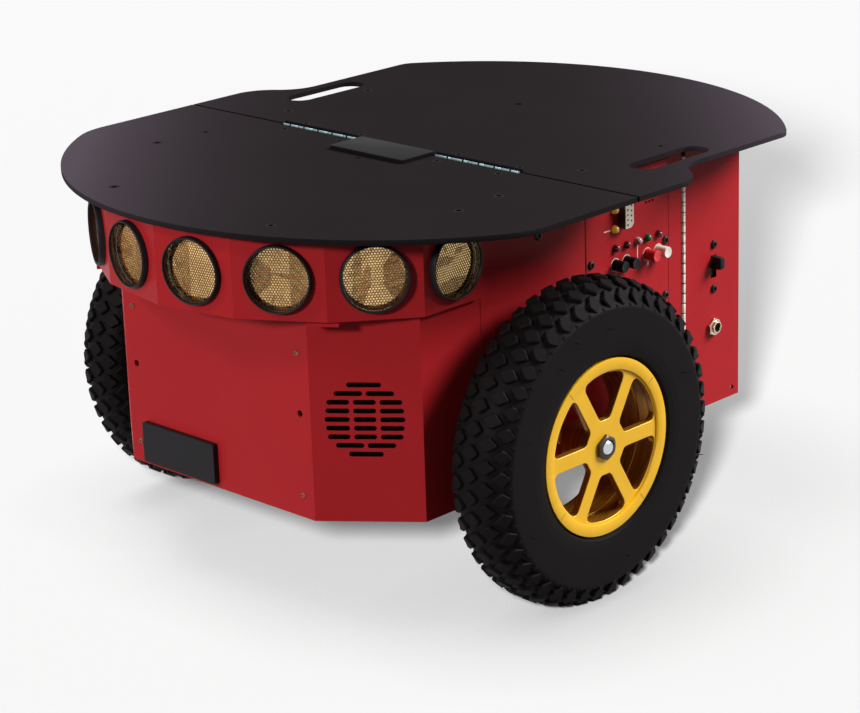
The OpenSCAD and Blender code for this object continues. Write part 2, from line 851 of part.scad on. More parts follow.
module control_panel() {
    color("#b0202a") difference() {
        box([in_x, panel_y, panel_z], [half_w, panel_y + panel_w, panel_z + panel_h]);
        for (c = control_cols)
            rod_x(in_x - 1, half_w + 1, panel_y + c, panel_z + button_row, button_r + move_gap);
        for (p = led_spots) rod_x(in_x - 1, half_w + 1, p[0], p[1], p[2]);
        for (c = [56, 59.1, 62.2], r = [0:3])
            rod_x(in_x - 1, half_w + 1, panel_y + c, panel_z + panel_h - 23.3 + r * 2.9, 0.9);
        for (p = panel_screw_spots) rod_x(in_x - 1, half_w + 1, p[0], p[1], screw_r);
        box([in_x - 1, panel_y + serial_col - serial_w / 2, panel_z + serial_row - serial_h / 2],
            [half_w + 1, panel_y + serial_col + serial_w / 2, panel_z + serial_row + serial_h / 2]);
    }
}

module status_leds() {
    color("#7a1018") for (p = led_spots) {
        rod_x(board_x + board_t, half_w + led_out - p[2], p[0], p[1], p[2]);
        translate([half_w + led_out - p[2], p[0], p[1]]) sphere(p[2]);
    }
}

module serial_connector() {
    y = panel_y + serial_col;
    z = panel_z + serial_row;
    color("#201c1c") difference() {
        box([board_x + board_t, y - serial_w / 2, z - serial_h / 2],
            [half_w + serial_out, y + serial_w / 2, z + serial_h / 2]);
        for (n = [0:8]) rod_x(half_w + serial_out - 3, half_w + serial_out + 1,
            y + (n < 5 ? -1.4 : 1.4), z + (n < 5 ? (n - 2) : (n - 6.5)) * 2.76, 0.5);
    }
}

module control_board() {
    z0 = panel_z + 34;
    color("#1f5a34") box([board_x, panel_y + 8, z0],
        [board_x + board_t, panel_y + panel_w - 5, panel_z + panel_h - 8]);
    color("#26262a") for (c = control_cols)
        box([board_x + board_t, panel_y + c - 3, panel_z + button_row - 3],
            [switch_face_x, panel_y + c + 3, panel_z + button_row + 3]);
}

// A push button that slides in X through the control panel
module button(n, tint) {
    y = panel_y + control_cols[n];
    z = panel_z + button_row;
    color(tint) {
        rod_x(in_x - move_gap - eps, half_w + button_out, y, z, button_r);
        rod_x(in_x - move_gap - collar_t, in_x - move_gap, y, z, collar_r);
        rod_x(switch_face_x + button_travel + move_gap, in_x - move_gap - collar_t + eps, y, z, plunger_r);
    }
}

module aux_button() { button(0, "#1a191c"); }
module mode_button() { button(1, "#1a191c"); }
module reset_button() { button(2, "#b01e26"); }
module motors_button() { button(3, "#e9e4da"); }

// ---------- nose ----------

module nose_outline(inset) {
    k = inset / tan(90 - slant_angle / 2);
    s = inset * tan((90 - slant_angle) / 2);
    polygon(two_sided([
        [nose_pts[2][0] - k, nose_y + inset],
        [half_w - inset, nose_pts[1][1] + s],
        [half_w - inset, seam_y - move_gap]]));
}

module grille_slots() {
    for (row = [-4:4]) {
        half = grille_half[abs(row)];
        // Each row is one slot, or is cut into two or three by ribs
        slots = abs(row) == 4 ? [[-half, half]] : abs(row) == 3 ? [[-half, -1], [1, half]] :
            [[-half, -grille_rib[1]], [-grille_rib[0], grille_rib[0]], [grille_rib[1], half]];
        for (slot = slots) translate([(slot[0] + slot[1]) / 2 - grille_in, row * grille_pitch])
            rounded(slot[1] - slot[0], grille_slot, grille_slot / 2 - eps);
    }
}

// Middle of each slanted panel at height z, with X along it and -Y out of it
module on_slants(z) {
    both_sides() translate([slant_mid[0], slant_mid[1], z]) rotate([0, 0, slant_angle]) children();
}

module nose_shell() {
    color("#a81e28") difference() {
        union() {
            translate([0, 0, body_z]) linear_extrude(nose_top - body_z) difference() {
                nose_outline(0);
                nose_outline(wall);
                translate([-in_x, seam_y - 2]) square([2 * in_x, 4]);
            }
            // Tabs under the sonar ring
            on_slants(nose_top - wall) box([-nose_tab_along - nose_tab_w / 2, -nose_tab_out, 0],
                [-nose_tab_along + nose_tab_w / 2, wall / 2, wall]);
        }
        on_slants(grille_z) rotate([90, 0, 0]) translate([0, 0, -wall - 1])
            linear_extrude(wall + 2) grille_slots();
        both_sides() {
            for (up = nose_fix_up)
                rod_y(nose_fix_x, nose_y - 1, nose_y + wall + 1, body_z + up, nose_screw_r);
            rod_y(nose_fix_x, nose_y - 1, nose_y + wall + 1, body_z + nose_hole_up, nose_hole_r);
        }
        translate([port_cover_x, nose_y + wall + 1, body_z + port_cover_up]) rotate([90, 0, 0])
            linear_extrude(wall + 2) rounded(port_w, port_h, 4);
    }
}

module rod_y(x, y0, y1, z, r) {
    translate([x, y0, z]) rotate([-90, 0, 0]) cylinder(h = y1 - y0, r = r);
}

module nose_floor() {
    color("#a81e28") {
        translate([0, 0, body_z]) linear_extrude(wall) nose_outline(wall);
        nose_knuckles([-1, 1], -1);
    }
}

module nose_screws() {
    color("#8a5a3c") both_sides() for (up = nose_fix_up) {
        rod_y(nose_fix_x, nose_y - nose_head_t, nose_y, body_z + up, nose_head_r);
        rod_y(nose_fix_x, nose_y - eps, nose_y + wall + 3, body_z + up, nose_screw_r);
    }
}

module nose_port_cover() {
    color("#17161a") {
        translate([port_cover_x, nose_y, body_z + port_cover_up]) rotate([90, 0, 0]) {
            linear_extrude(port_cover_t) rounded(port_cover_w, port_cover_h, 1.5);
            translate([0, 0, -wall]) linear_extrude(wall + eps) rounded(port_w - 1, port_h - 1, 3.6);
        }
    }
}

module controller_board() {
    y = nose_y + wall + 9;
    color("#1f5a34") box([-60, y, body_z + 30], [60, y + 1.6, body_z + 112]);
    color("#c8b070") for (x = [-54, 54], z = [36, 106]) rod_y(x, nose_y + wall, y + eps, body_z + z, 3);
    color("#26262a") {
        box([-14, y + 1.6 - eps, body_z + 60], [14, y + 4.4, body_z + 88]);
        for (x = [-48, -36, 36]) box([x, y + 1.6 - eps, body_z + 40], [x + 8, y + 10, body_z + 62]);
    }
}

module speakers() {
    color("#2b2b2e") on_slants(grille_z) rotate([-90, 0, 0]) translate([0, 0, wall]) {
        cylinder(h = 3, r = 25.5);
        translate([0, 0, 3 - eps]) cylinder(h = 7, r1 = 22, r2 = 13);
        translate([0, 0, 10 - 2 * eps]) cylinder(h = 5, r = 12);
    }
}

// ---------- battery door ----------

module battery_door() {
    color("#a81e28") difference() {
        box([-half_w, body_rear - wall, door_z], [in_x, body_rear, door_top]);
        for (z = thumb_z) rod_y(thumb_in - in_x, body_rear - wall - 1, body_rear + 1, z, thumb_r);
        for (x = [-60:20:60]) translate([x, body_rear + 1, deck_z - 22]) rotate([90, 0, 0])
            linear_extrude(wall + 2) rounded(14, 3, 1.4);
    }
}

module battery_door_flange() {
    color("#a81e28") difference() {
        side_plate(in_x, wall) difference() {
            translate([door_axis_y + door_edge, body_z])
                square([body_rear - door_axis_y - door_edge, door_top - body_z]);
            translate([switch_y, switch_mid])
                rounded(knob_w + 0.8, knob_h + switch_travel + 0.8, 0.6);
            translate([jack_y, jack_z]) circle(jack_r);
            translate([body_rear - 6.5, body_z + 5.6]) circle(1.6);
            for (z = switch_screw_z) translate([switch_y, z]) circle(screw_r);
        }
    }
}

module door_hinge_leaf() {
    color("#cfc6b2") piano_leaf(1, 1);
}

module door_thumbscrews() {
    color("#1b1a1d") for (z = thumb_z) {
        rod_y(thumb_in - in_x, body_rear, body_rear + 7, z, 6);
        rod_y(thumb_in - in_x, body_rear - 7.5, body_rear + eps, z, thumb_r - eps);
    }
}

module power_switch_body() {
    half = switch_l / 2 - 7;
    color("#232226") {
        difference() {
            box([in_x - 12, switch_y - 6, switch_mid - half], [in_x, switch_y + 6, switch_mid + half]);
            box([in_x - 5, switch_y - knob_w / 2 - 0.4, switch_z - switch_travel - knob_h / 2 - 0.4],
                [in_x + 1, switch_y + knob_w / 2 + 0.4, switch_z + knob_h / 2 + 0.4]);
        }
        for (z = switch_screw_z) {
            box([in_x - 1.2, switch_y - 5, z - 3.5], [in_x, switch_y + 5, z + 3.5]);
            rod_x(in_x - eps, half_w, switch_y, z, screw_r);
            rod_x(half_w, half_w + 1.2, switch_y, z, 2.5);
        }
    }
}

module power_switch_knob() {
    color("#141316") {
        box([in_x - 4.6, switch_y - knob_w / 2, switch_z - knob_h / 2],
            [half_w + knob_out, switch_y + knob_w / 2, switch_z + knob_h / 2]);
    }
}

module charge_jack() {
    color("#b9bcc4") difference() {
        union() {
            translate([half_w, jack_y, jack_z]) rotate([0, 90, 0]) cylinder(h = 2, r = 6, $fn = 6);
            rod_x(in_x - 9, half_w + jack_out, jack_y, jack_z, jack_r);
            rod_x(in_x - 10, in_x, jack_y, jack_z, 6);
        }
        rod_x(in_x - 5, half_w + jack_out + 1, jack_y, jack_z, jack_bore_r);
    }
}

// ---------- drive wheels ----------

// Turns a section drawn as (radius, distance outwards) about the left wheel's axle
module wheel_turn() {
    translate([wheel_x, axle_y, axle_z]) rotate([0, 90, 0]) rotate_extrude($fn = 96) children();
}

module tyre() {
    t = wheel_r - bead_r;
    half = tyre_w / 2;
    edge = [[0, flange_a - flange_t], [flange_r - bead_r + 0.6, flange_a - flange_t],
        [flange_r - bead_r + 1, half - 1.5], [t * 0.3, half], [t * 0.64, half - 0.2],
        [t * 0.76, half - 0.8], [t * 0.85, half - 2.6], [t * 0.92, half - 5.5],
        [t * 0.965, half - 9], [t, half - 15]];
    wheel_turn() polygon(concat(
        [for (p = edge) [bead_r + p[0], p[1]]],
        [for (n = [len(edge) - 1:-1:0]) [bead_r + edge[n][0], -edge[n][1]]]));
}

module rim_windows() {
    for (n = [0:spokes - 1]) rotate(n * 360 / spokes) offset(r = 3.4, $fn = 32) offset(delta = -3.4)
        intersection() {
            difference() {
                circle(barrel_r - 1.2, $fn = 96);
                circle(hub_r, $fn = 96);
            }
            translate([spoke_w / 2 / sin(180 / spokes), 0]) polygon([[0, 0],
                100 * [cos(180 / spokes), sin(180 / spokes)], [120, 0],
                100 * [cos(180 / spokes), -sin(180 / spokes)]]);
        }
}

module rim() {
    difference() {
        union() {
            wheel_turn() polygon([[barrel_r, -flange_a], [flange_r, -flange_a],
                [flange_r, flange_t - flange_a], [bead_r, flange_t - flange_a],
                [bead_r, flange_a - flange_t], [flange_r, flange_a - flange_t],
                [flange_r, flange_a], [barrel_r, flange_a]]);
            translate([wheel_x + face_a - face_t, axle_y, axle_z]) rotate([0, 90, 0])
                linear_extrude(face_t) difference() {
                    circle(barrel_r + eps);
                    rim_windows();
                }
            rod_x(wheel_x - 8, wheel_x + face_a - eps, axle_y, axle_z, boss_r);
        }
        rod_x(wheel_x - 9, wheel_x + face_a + 1, axle_y, axle_z, axle_r);
        rod_x(wheel_x + face_a - nut_seat, wheel_x + face_a + 1, axle_y, axle_z, nut_r + 1.2);
    }
}

module axle() {
    rod_x(in_x - gearbox_l + 8, wheel_x + face_a - nut_seat, axle_y, axle_z, axle_r);
    rod_x(in_x - gearbox_l + 8, wheel_x + flange_a + 1.5, axle_y, axle_z, stud_r);
}

module hub_nut() {
    difference() {
        translate([wheel_x + face_a - nut_seat, axle_y, axle_z]) rotate([0, 90, 0])
            cylinder(h = nut_seat + 3, r = nut_r, $fn = 6);
        rod_x(wheel_x, wheel_x + 60, axle_y, axle_z, stud_r);
    }
}

module left_tyre() { color("#1c1a1d") tyre(); }
module right_tyre() { color("#1c1a1d") mirror([1, 0, 0]) tyre(); }
module left_rim() { color("#e0a91f") rim(); }
module right_rim() { color("#e0a91f") mirror([1, 0, 0]) rim(); }
module left_axle() { color("#c9cbd0") axle(); }
module right_axle() { color("#c9cbd0") mirror([1, 0, 0]) axle(); }
module left_hub_nut() { color("#29262a") hub_nut(); }
module right_hub_nut() { color("#29262a") mirror([1, 0, 0]) hub_nut(); }

// ---------- caster ----------

module caster_mount() {
    color("#8d9096") {
        difference() {
            box([-32, caster_y - 30, batt_floor_z - mount_t], [32, caster_y + 16, batt_floor_z]);
            for (p = mount_holes)
                rod_z(p[0], p[1], batt_floor_z - mount_t - 1, batt_floor_z + 1, mount_hole_r);
        }
        rod_z(0, caster_y, batt_floor_z - mount_t - bearing_t, batt_floor_z - mount_t + eps, 15);
        rod_z(0, caster_y, crown_z - move_gap - eps, batt_floor_z - mount_t, kingpin_r);
        rod_z(0, caster_y, crown_z - move_gap - 3, crown_z - move_gap, 7);
    }
}

module caster_fork() {
    crown_r = norm([fork_x + fork_t, 13]) + 1;
    color("#9a9da3") {
        difference() {
            union() {
                rod_z(0, caster_y, crown_z, crown_z + crown_t, crown_r);
                for (s = [1, -1]) on_side(s) translate([fork_x, caster_y, 0]) rotate([90, 0, 90])
                    linear_extrude(fork_t) {
                        polygon([[-13, crown_z + 1], [13, crown_z + 1], [caster_trail + 8, caster_r + 8],
                            [caster_trail + 8, caster_r], [caster_trail - 8, caster_r]]);
                        translate([caster_trail, caster_r]) circle(9);
                    }
            }
            rod_z(0, caster_y, crown_z - 1, crown_z + crown_t + 1, kingpin_r + run_gap);
        }
        // Axle bolt riveted into both legs
        rod_x(-fork_x - eps, fork_x + eps, caster_y + caster_trail, caster_r, caster_axle_r);
        for (s = [1, -1]) on_side(s)
            rod_x(fork_x + fork_t, fork_x + fork_t + 4, caster_y + caster_trail, caster_r, 6);
    }
}

module caster_wheel() {
    w = caster_w / 2;
    color("#4a4a4f") translate([0, caster_y + caster_trail, caster_r]) rotate([0, 90, 0])
        rotate_extrude($fn = 96) polygon([
            [caster_axle_r + run_gap, -w], [12, -w], [14, -w + 3], [caster_r - 12, -w + 3],
            [caster_r - 10, -w + 1], [caster_r - 3, -w + 1], [caster_r, -w + 4],
            [caster_r, w - 4], [caster_r - 3, w - 1], [caster_r - 10, w - 1],
            [caster_r - 12, w - 3], [14, w - 3], [12, w], [caster_axle_r + run_gap, w]]);
}

floor_pan();
floor_riser();
battery_floor();
battery_bay_wall();
front_bulkhead();
left_side_panel();
right_side_panel();
sonar_tray();
sonar_ring();
sonar_bezels();
sonar_meshes();
sonar_transducers();
rear_deck();
rear_deck_hinges();
chassis_screws();
battery_left();
battery_middle();
battery_right();
left_drive_motor();
right_drive_motor();
left_gearbox();
right_gearbox();
motor_power_board();
control_panel();
control_board();
status_leds();
serial_connector();
caster_mount();
body_hinge_leaf();
front_deck();
front_deck_hinges();
front_deck_screws();
access_cover();
nose_shell();
nose_floor();
controller_board();
speakers();
nose_port_cover();
nose_screws();
battery_door();
battery_door_flange();
door_hinge_leaf();
door_thumbscrews();
power_switch_body();
charge_jack();
power_switch_knob();
aux_button();
mode_button();
reset_button();
motors_button();
left_tyre();
left_rim();
left_axle();
left_hub_nut();
right_tyre();
right_rim();
right_axle();
right_hub_nut();
caster_fork();
caster_wheel();
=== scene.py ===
import json
import math
import random

import bmesh
import bpy
from mathutils import Matrix, Vector


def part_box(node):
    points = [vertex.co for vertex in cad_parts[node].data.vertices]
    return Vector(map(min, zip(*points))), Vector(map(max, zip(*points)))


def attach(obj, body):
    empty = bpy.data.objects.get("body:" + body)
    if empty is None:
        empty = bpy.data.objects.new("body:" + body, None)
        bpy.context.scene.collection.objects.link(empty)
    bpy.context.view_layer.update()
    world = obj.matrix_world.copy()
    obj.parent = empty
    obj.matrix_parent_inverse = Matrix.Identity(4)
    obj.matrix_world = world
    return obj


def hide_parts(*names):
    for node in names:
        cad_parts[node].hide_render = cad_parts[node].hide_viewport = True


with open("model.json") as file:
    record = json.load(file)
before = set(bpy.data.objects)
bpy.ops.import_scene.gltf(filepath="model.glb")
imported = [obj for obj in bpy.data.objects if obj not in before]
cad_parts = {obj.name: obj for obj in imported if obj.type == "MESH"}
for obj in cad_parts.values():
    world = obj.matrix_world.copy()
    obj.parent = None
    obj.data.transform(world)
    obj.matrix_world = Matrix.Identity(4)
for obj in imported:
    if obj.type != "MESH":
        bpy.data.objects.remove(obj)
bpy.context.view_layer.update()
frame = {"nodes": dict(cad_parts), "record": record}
nodes = frame["nodes"]
mm = 0.001
print("frame loaded:", len(nodes), "nodes")


# Shader maths

class Wire:  # an output socket that takes plain arithmetic
    def __init__(self, paint, socket):
        self.paint = paint
        self.socket = socket

    def __add__(self, other):
        return self.paint.maths("ADD", self, other)

    def __radd__(self, other):
        return self.paint.maths("ADD", other, self)

    def __sub__(self, other):
        return self.paint.maths("SUBTRACT", self, other)

    def __rsub__(self, other):
        return self.paint.maths("SUBTRACT", other, self)

    def __mul__(self, other):
        return self.paint.maths("MULTIPLY", self, other)

    def __rmul__(self, other):
        return self.paint.maths("MULTIPLY", other, self)

    def __truediv__(self, other):
        return self.paint.maths("DIVIDE", self, other)

    def __rtruediv__(self, other):
        return self.paint.maths("DIVIDE", other, self)

    def __pow__(self, power):
        return self.paint.maths("POWER", self, power)

    def __abs__(self):
        return self.paint.maths("ABSOLUTE", self)

    def __or__(self, other):  # either of two masks
        return self.paint.maths("MAXIMUM", self, other)

    def __gt__(self, other):
        return self.paint.maths("GREATER_THAN", self, other)

    def __lt__(self, other):
        return self.paint.maths("LESS_THAN", self, other)


class Paint:  # one material and its nodes
    def __init__(self, name):
        self.material = bpy.data.materials.new(name)
        self.material.use_nodes = True
        self.tree = self.material.node_tree
        self.shader = self.tree.nodes["Principled BSDF"]
        self.place = self.node("TexCoord", output="Object")

    def node(self, kind, settings=None, inputs=None, output=0):
        made = self.tree.nodes.new("ShaderNode" + kind)
        for name, value in (settings or {}).items():
            setattr(made, name, value)
        for name, value in (inputs or {}).items():
            self.feed(made.inputs[name], value)
        return Wire(self, made.outputs[output])

    def feed(self, socket, value):
        if isinstance(value, Wire):
            self.tree.links.new(value.socket, socket)
        elif socket.type == "RGBA" and len(value) == 3:
            socket.default_value = (*value, 1)
        else:
            socket.default_value = value

    def finish(self, inputs):
        for name, value in inputs.items():
            self.feed(self.shader.inputs[name], value)
        return self.material

    def maths(self, operation, first, second=0.0):
        return self.node("Math", {"operation": operation}, {0: first, 1: second})

    def along(self, axis):
        return self.node("SeparateXYZ", None, {0: self.place}, output=axis)

    def noise(self, size, detail=2.0, place=None):  # size is one blotch, in metres
        return self.node("TexNoise", None, {"Vector": place or self.place, "Scale": 1 / size, "Detail": detail})

    def stretched(self, scale):  # the place with each axis scaled, for grain that runs one way
        return self.node("VectorMath", {"operation": "MULTIPLY"}, {0: self.place, 1: scale})

    def blend(self, share, first, second):
        return self.node("Mix", {"data_type": "RGBA"}, {0: share, 6: first, 7: second}, output=2)

    def bump(self, height, depth, strength=1.0):
        return self.node("Bump", None, {"Height": height, "Distance": depth, "Strength": strength})

    def spread(self, wire, low, high):  # takes 0 to 1 into low to high
        return wire * (high - low) + low


def middleOf(node):
    low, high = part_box(node)
    return (Vector(low) + Vector(high)) / 2


# Finishes

powder = dict(red=(0.430, 0.0170, 0.0215), dark=(0.375, 0.0140, 0.0175), gapShade=(0.008, 0.002, 0.002),
              cloud=70 * mm, peel=1.1 * mm, rough=(0.37, 0.49), shine=0.10)


def redPowderCoat(name, shadeMask=None):  # the mask given is where shade is painted in a gap or slot
    paint = Paint(name)
    peel = paint.noise(powder["peel"], 2)
    colour = paint.blend(paint.noise(powder["cloud"], 3), powder["dark"], powder["red"])
    if shadeMask:
        # Painted shade: the red is darkened inside the given mask
        colour = paint.blend(shadeMask(paint), colour, powder["gapShade"])
    return paint.finish({
        "Base Color": colour,
        "Roughness": paint.spread(peel, *powder["rough"]),
        "Normal": paint.bump(peel, 0.05 * mm, 0.5),
        "Specular IOR Level": powder["shine"]})


def panelEdge(paint, wide=0.9 * mm):  # painted shade in the gap in front of the control panel
    return paint.along(1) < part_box("control_panel")[0][1] + wide


# A slanted nose wall: the way it faces, where its slots begin and how far the painted shade reaches round them
noseSlant = dict(outX=0.618, outY=-0.786, reach=84 * mm, skin=0.25 * mm, margin=2 * mm, side=1 * mm)


def grilleSlots(paint):  # what lies behind the face of the slanted walls, round the speaker slots, where shade is painted
    low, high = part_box("speakers")
    outX, outY, margin = noseSlant["outX"], noseSlant["outY"], noseSlant["margin"]
    face = max(outX * abs(spot.co.x) + outY * spot.co.y
               for spot in nodes["nose_shell"].data.vertices if low[2] < spot.co.z < high[2])
    side, height = abs(paint.along(0)), paint.along(2)
    behind = face - (side * outX + paint.along(1) * outY) > noseSlant["skin"]
    across = (side > noseSlant["reach"]) * (side < high[0] + noseSlant["side"])
    return behind * across * (height > low[2] - margin) * (height < high[2] + margin)


slot = dict(margin=1 * mm, travel=8 * mm, skin=0.3 * mm)


def switchSlot(paint):  # the walls of the slot that the switch's knob slides in, where shade is painted
    low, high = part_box("power_switch_knob")
    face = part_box("battery_door_flange")[1][0]
    across = abs(paint.along(1) - (low[1] + high[1]) / 2) < (high[1] - low[1]) / 2 + slot["margin"]
    height = paint.along(2)
    inside = across * (height < high[2] + slot["margin"]) * (height > low[2] - slot["travel"])
    return inside * (paint.along(0) < face - slot["skin"])


# In deckCoat the lighter colour towards two corners is a painted sheen, and gap is the colour of a painted shadow
# beside the seam
deckCoat = dict(tone=(0.0128, 0.0106, 0.0112), light=(0.0148, 0.0122, 0.0130), paintedSheen=(0.054, 0.043, 0.053),
                gap=(0.0015, 0.0012, 0.0012), cloud=60 * mm, grain=0.5 * mm, rough=(0.45, 0.59),
                sheenFrom=0.2, sheenMiddle=5 * mm, sheenShare=0.7, seam=0.9 * mm)


def deckPowderCoat():  # black, with a painted sheen towards two opposite corners and a painted shadow beside the seam
    paint = Paint("deckPowderCoat")
    grain = paint.noise(deckCoat["grain"], 2)
    # Painted sheen: the colour grows lighter away from a diagonal line, towards the front left and rear right corners
    across = abs((paint.along(0) + paint.along(1)) * math.sqrt(0.5) - deckCoat["sheenMiddle"])
    haze = (across / deckCoat["sheenFrom"]) ** 4.0 * deckCoat["sheenShare"]
    coat = paint.blend(paint.noise(deckCoat["cloud"], 3), deckCoat["tone"], deckCoat["light"])
    # Painted shadow: a dark band beside the seam between the two decks
    seam = abs(paint.along(1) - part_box("rear_deck")[0][1]) < deckCoat["seam"]
    return paint.finish({
        "Base Color": paint.blend(seam, paint.blend(haze, coat, deckCoat["paintedSheen"]), deckCoat["gap"]),
        "Roughness": paint.spread(grain, *deckCoat["rough"]),
        "Normal": paint.bump(grain, 0.06 * mm, 0.6),
        "Specular IOR Level": 0.0})


rubber = dict(tone=(0.0036, 0.0029, 0.0029), dusty=(0.0072, 0.0054, 0.0057), cloud=18 * mm, grain=0.7 * mm,
              rough=(0.54, 0.70), shine=0.05, ridge=4.2 * mm, ridgesTo=67.2 * mm, ridgeTall=0.8)


def tyreRubber():  # fine moulded rings on the sidewall
    paint = Paint("tyreRubber")
    cloud = paint.noise(rubber["cloud"], 4)
    middle = middleOf("left_tyre")
    fromAxle = (abs(paint.along(1) - middle.y) ** 2.0 + abs(paint.along(2) - middle.z) ** 2.0) ** 0.5
    waves = paint.maths("SINE", fromAxle * (math.tau / rubber["ridge"])) + 1.0
    ridges = (fromAxle < rubber["ridgesTo"]) * waves * rubber["ridgeTall"]
    return paint.finish({
        "Base Color": paint.blend(cloud, rubber["tone"], rubber["dusty"]),
        "Roughness": paint.spread(cloud, *rubber["rough"]),
        "Normal": paint.bump(paint.noise(rubber["grain"], 3) + ridges, 0.05 * mm, 0.6),
        "Specular IOR Level": rubber["shine"]})


gold = dict(face=(0.80, 0.45, 0.004), shade=(0.70, 0.37, 0.003), cloud=14 * mm, haze=0.5 * mm, rough=(0.32, 0.46),
            metallic=0.20)


def goldAnodised():
    paint = Paint("goldAnodised")
    haze = paint.noise(gold["haze"], 3)
    return paint.finish({
        "Base Color": paint.blend(paint.noise(gold["cloud"], 3), gold["shade"], gold["face"]),
        "Metallic": gold["metallic"],
        "Roughness": paint.spread(haze, *gold["rough"]),
        "Normal": paint.bump(haze, 0.02 * mm, 0.4)})


barrel = dict(light=(0.46, 0.185, 0.012), dark=(0.253, 0.10175, 0.0066), turning=0.35 * mm, band=7 * mm,
              rough=(0.16, 0.36), metallic=0.6)


def turnedBarrel():  # lathe marks run round the barrel, so they vary along the axle only
    paint = Paint("turnedBarrel")
    marks = paint.noise(1.0, 2, paint.stretched((1 / barrel["turning"], 12, 12)))
    bands = paint.noise(1.0, 1, paint.stretched((1 / barrel["band"], 8, 8)))
    return paint.finish({
        "Base Color": paint.blend(bands, barrel["dark"], barrel["light"]),
        "Metallic": barrel["metallic"],
        "Roughness": paint.spread(marks, *barrel["rough"]),
        "Normal": paint.bump(marks, 0.05 * mm, 0.7)})


board = dict(green=(0.010, 0.100, 0.038), track=(0.030, 0.170, 0.070), parts=(0.018, 0.018, 0.020),
             trackWide=2.2 * mm, chip=4 * mm, rough=(0.28, 0.42))


def circuitBoard(name, axis, edge, below):  # green, with dark parts on one side of a plane
    paint = Paint(name)
    side = paint.along(axis)
    parts = side < edge if below else side > edge
    tracks = (paint.noise(board["trackWide"], 1) > 0.56) * 0.7
    return paint.finish({
        "Base Color": paint.blend(parts, paint.blend(tracks, board["green"], board["track"]), board["parts"]),
        "Roughness": paint.spread(paint.noise(board["chip"], 2), *board["rough"])})


case = dict(dark=(0.030, 0.034, 0.042), light=(0.042, 0.048, 0.058), cloud=30 * mm, grain=0.9 * mm,
            rough=(0.45, 0.62))


def batteryCase():
    paint = Paint("batteryCase")
    grain = paint.noise(case["grain"], 3)
    return paint.finish({
        "Base Color": paint.blend(paint.noise(case["cloud"], 2), case["dark"], case["light"]),
        "Roughness": paint.spread(grain, *case["rough"]),
        "Normal": paint.bump(grain, 0.08 * mm, 0.7)})


# The dark colour of the knuckles is painted shade
knuckle = dict(steel=(0.30, 0.44, 0.46), paintedShade=(0.006, 0.005, 0.006), metallic=0.7, rough=(0.26, 0.40), wear=3 * mm,
               gap=0.10, pitch=12.8 * mm, radius=2.2 * mm, shown=0.5 * mm, crown=1.1 * mm)


def knuckleSteel():  # dull steel, with painted shade in the narrow gaps between the knuckles, behind the pin line and on their tops
    paint = Paint("knuckleSteel")
    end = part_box("rear_deck_hinges")[1][0]
    back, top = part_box("front_deck_hinges")[1][1:]
    turn = (end - abs(paint.along(0))) / knuckle["pitch"] + (knuckle["gap"] + 1) / 2
    gap = paint.maths("FRACT", turn) < knuckle["gap"]
    behind = paint.along(1) > back - knuckle["radius"] - knuckle["shown"]  # painted shade behind the pin line
    height = paint.along(2)
    paintedShade = gap | behind | (height > top - knuckle["crown"])
    paintedShade = paintedShade * (height > top - 2 * knuckle["radius"])  # the leaves below get no painted shade
    return paint.finish({
        "Base Color": paint.blend(paintedShade, knuckle["steel"], knuckle["paintedShade"]),
        "Metallic": paint.spread(paintedShade, knuckle["metallic"], 0.0),
        "Roughness": paint.spread(paint.noise(knuckle["wear"], 3), *knuckle["rough"]),
        "Specular IOR Level": 0.0})


# The dark colour of the long hinge is painted shade in its gaps
longHinge = dict(tone=(0.92, 0.85, 0.72), paintedShade=(0.16, 0.12, 0.09), rough=(0.40, 0.55), pitch=6.5 * mm, gap=0.11)


def creamHinge():  # a long rolled hinge, with painted shade in the gaps between its short knuckles
    paint = Paint("creamHinge")
    gap = paint.maths("FRACT", paint.along(2) / longHinge["pitch"]) < longHinge["gap"]
    return paint.finish({
        "Base Color": paint.blend(gap, longHinge["tone"], longHinge["paintedShade"]),
        "Roughness": paint.spread(paint.noise(2 * mm, 3), *longHinge["rough"])})


def plainFinish(name, colour, rough, metallic=0.0, shine=0.5, grain=0.8 * mm, depth=0.03 * mm, spread=0.06, **more):
    paint = Paint(name)
    uneven = paint.noise(grain, 2)
    shade = tuple(0.82 * part for part in colour)
    return paint.finish({
        "Base Color": paint.blend(paint.noise(25 * mm, 3), shade, colour),
        "Roughness": paint.spread(uneven, rough - spread, rough + spread),
        "Metallic": metallic,
        "Specular IOR Level": shine,
        "Normal": paint.bump(uneven, depth, 0.5), **more})


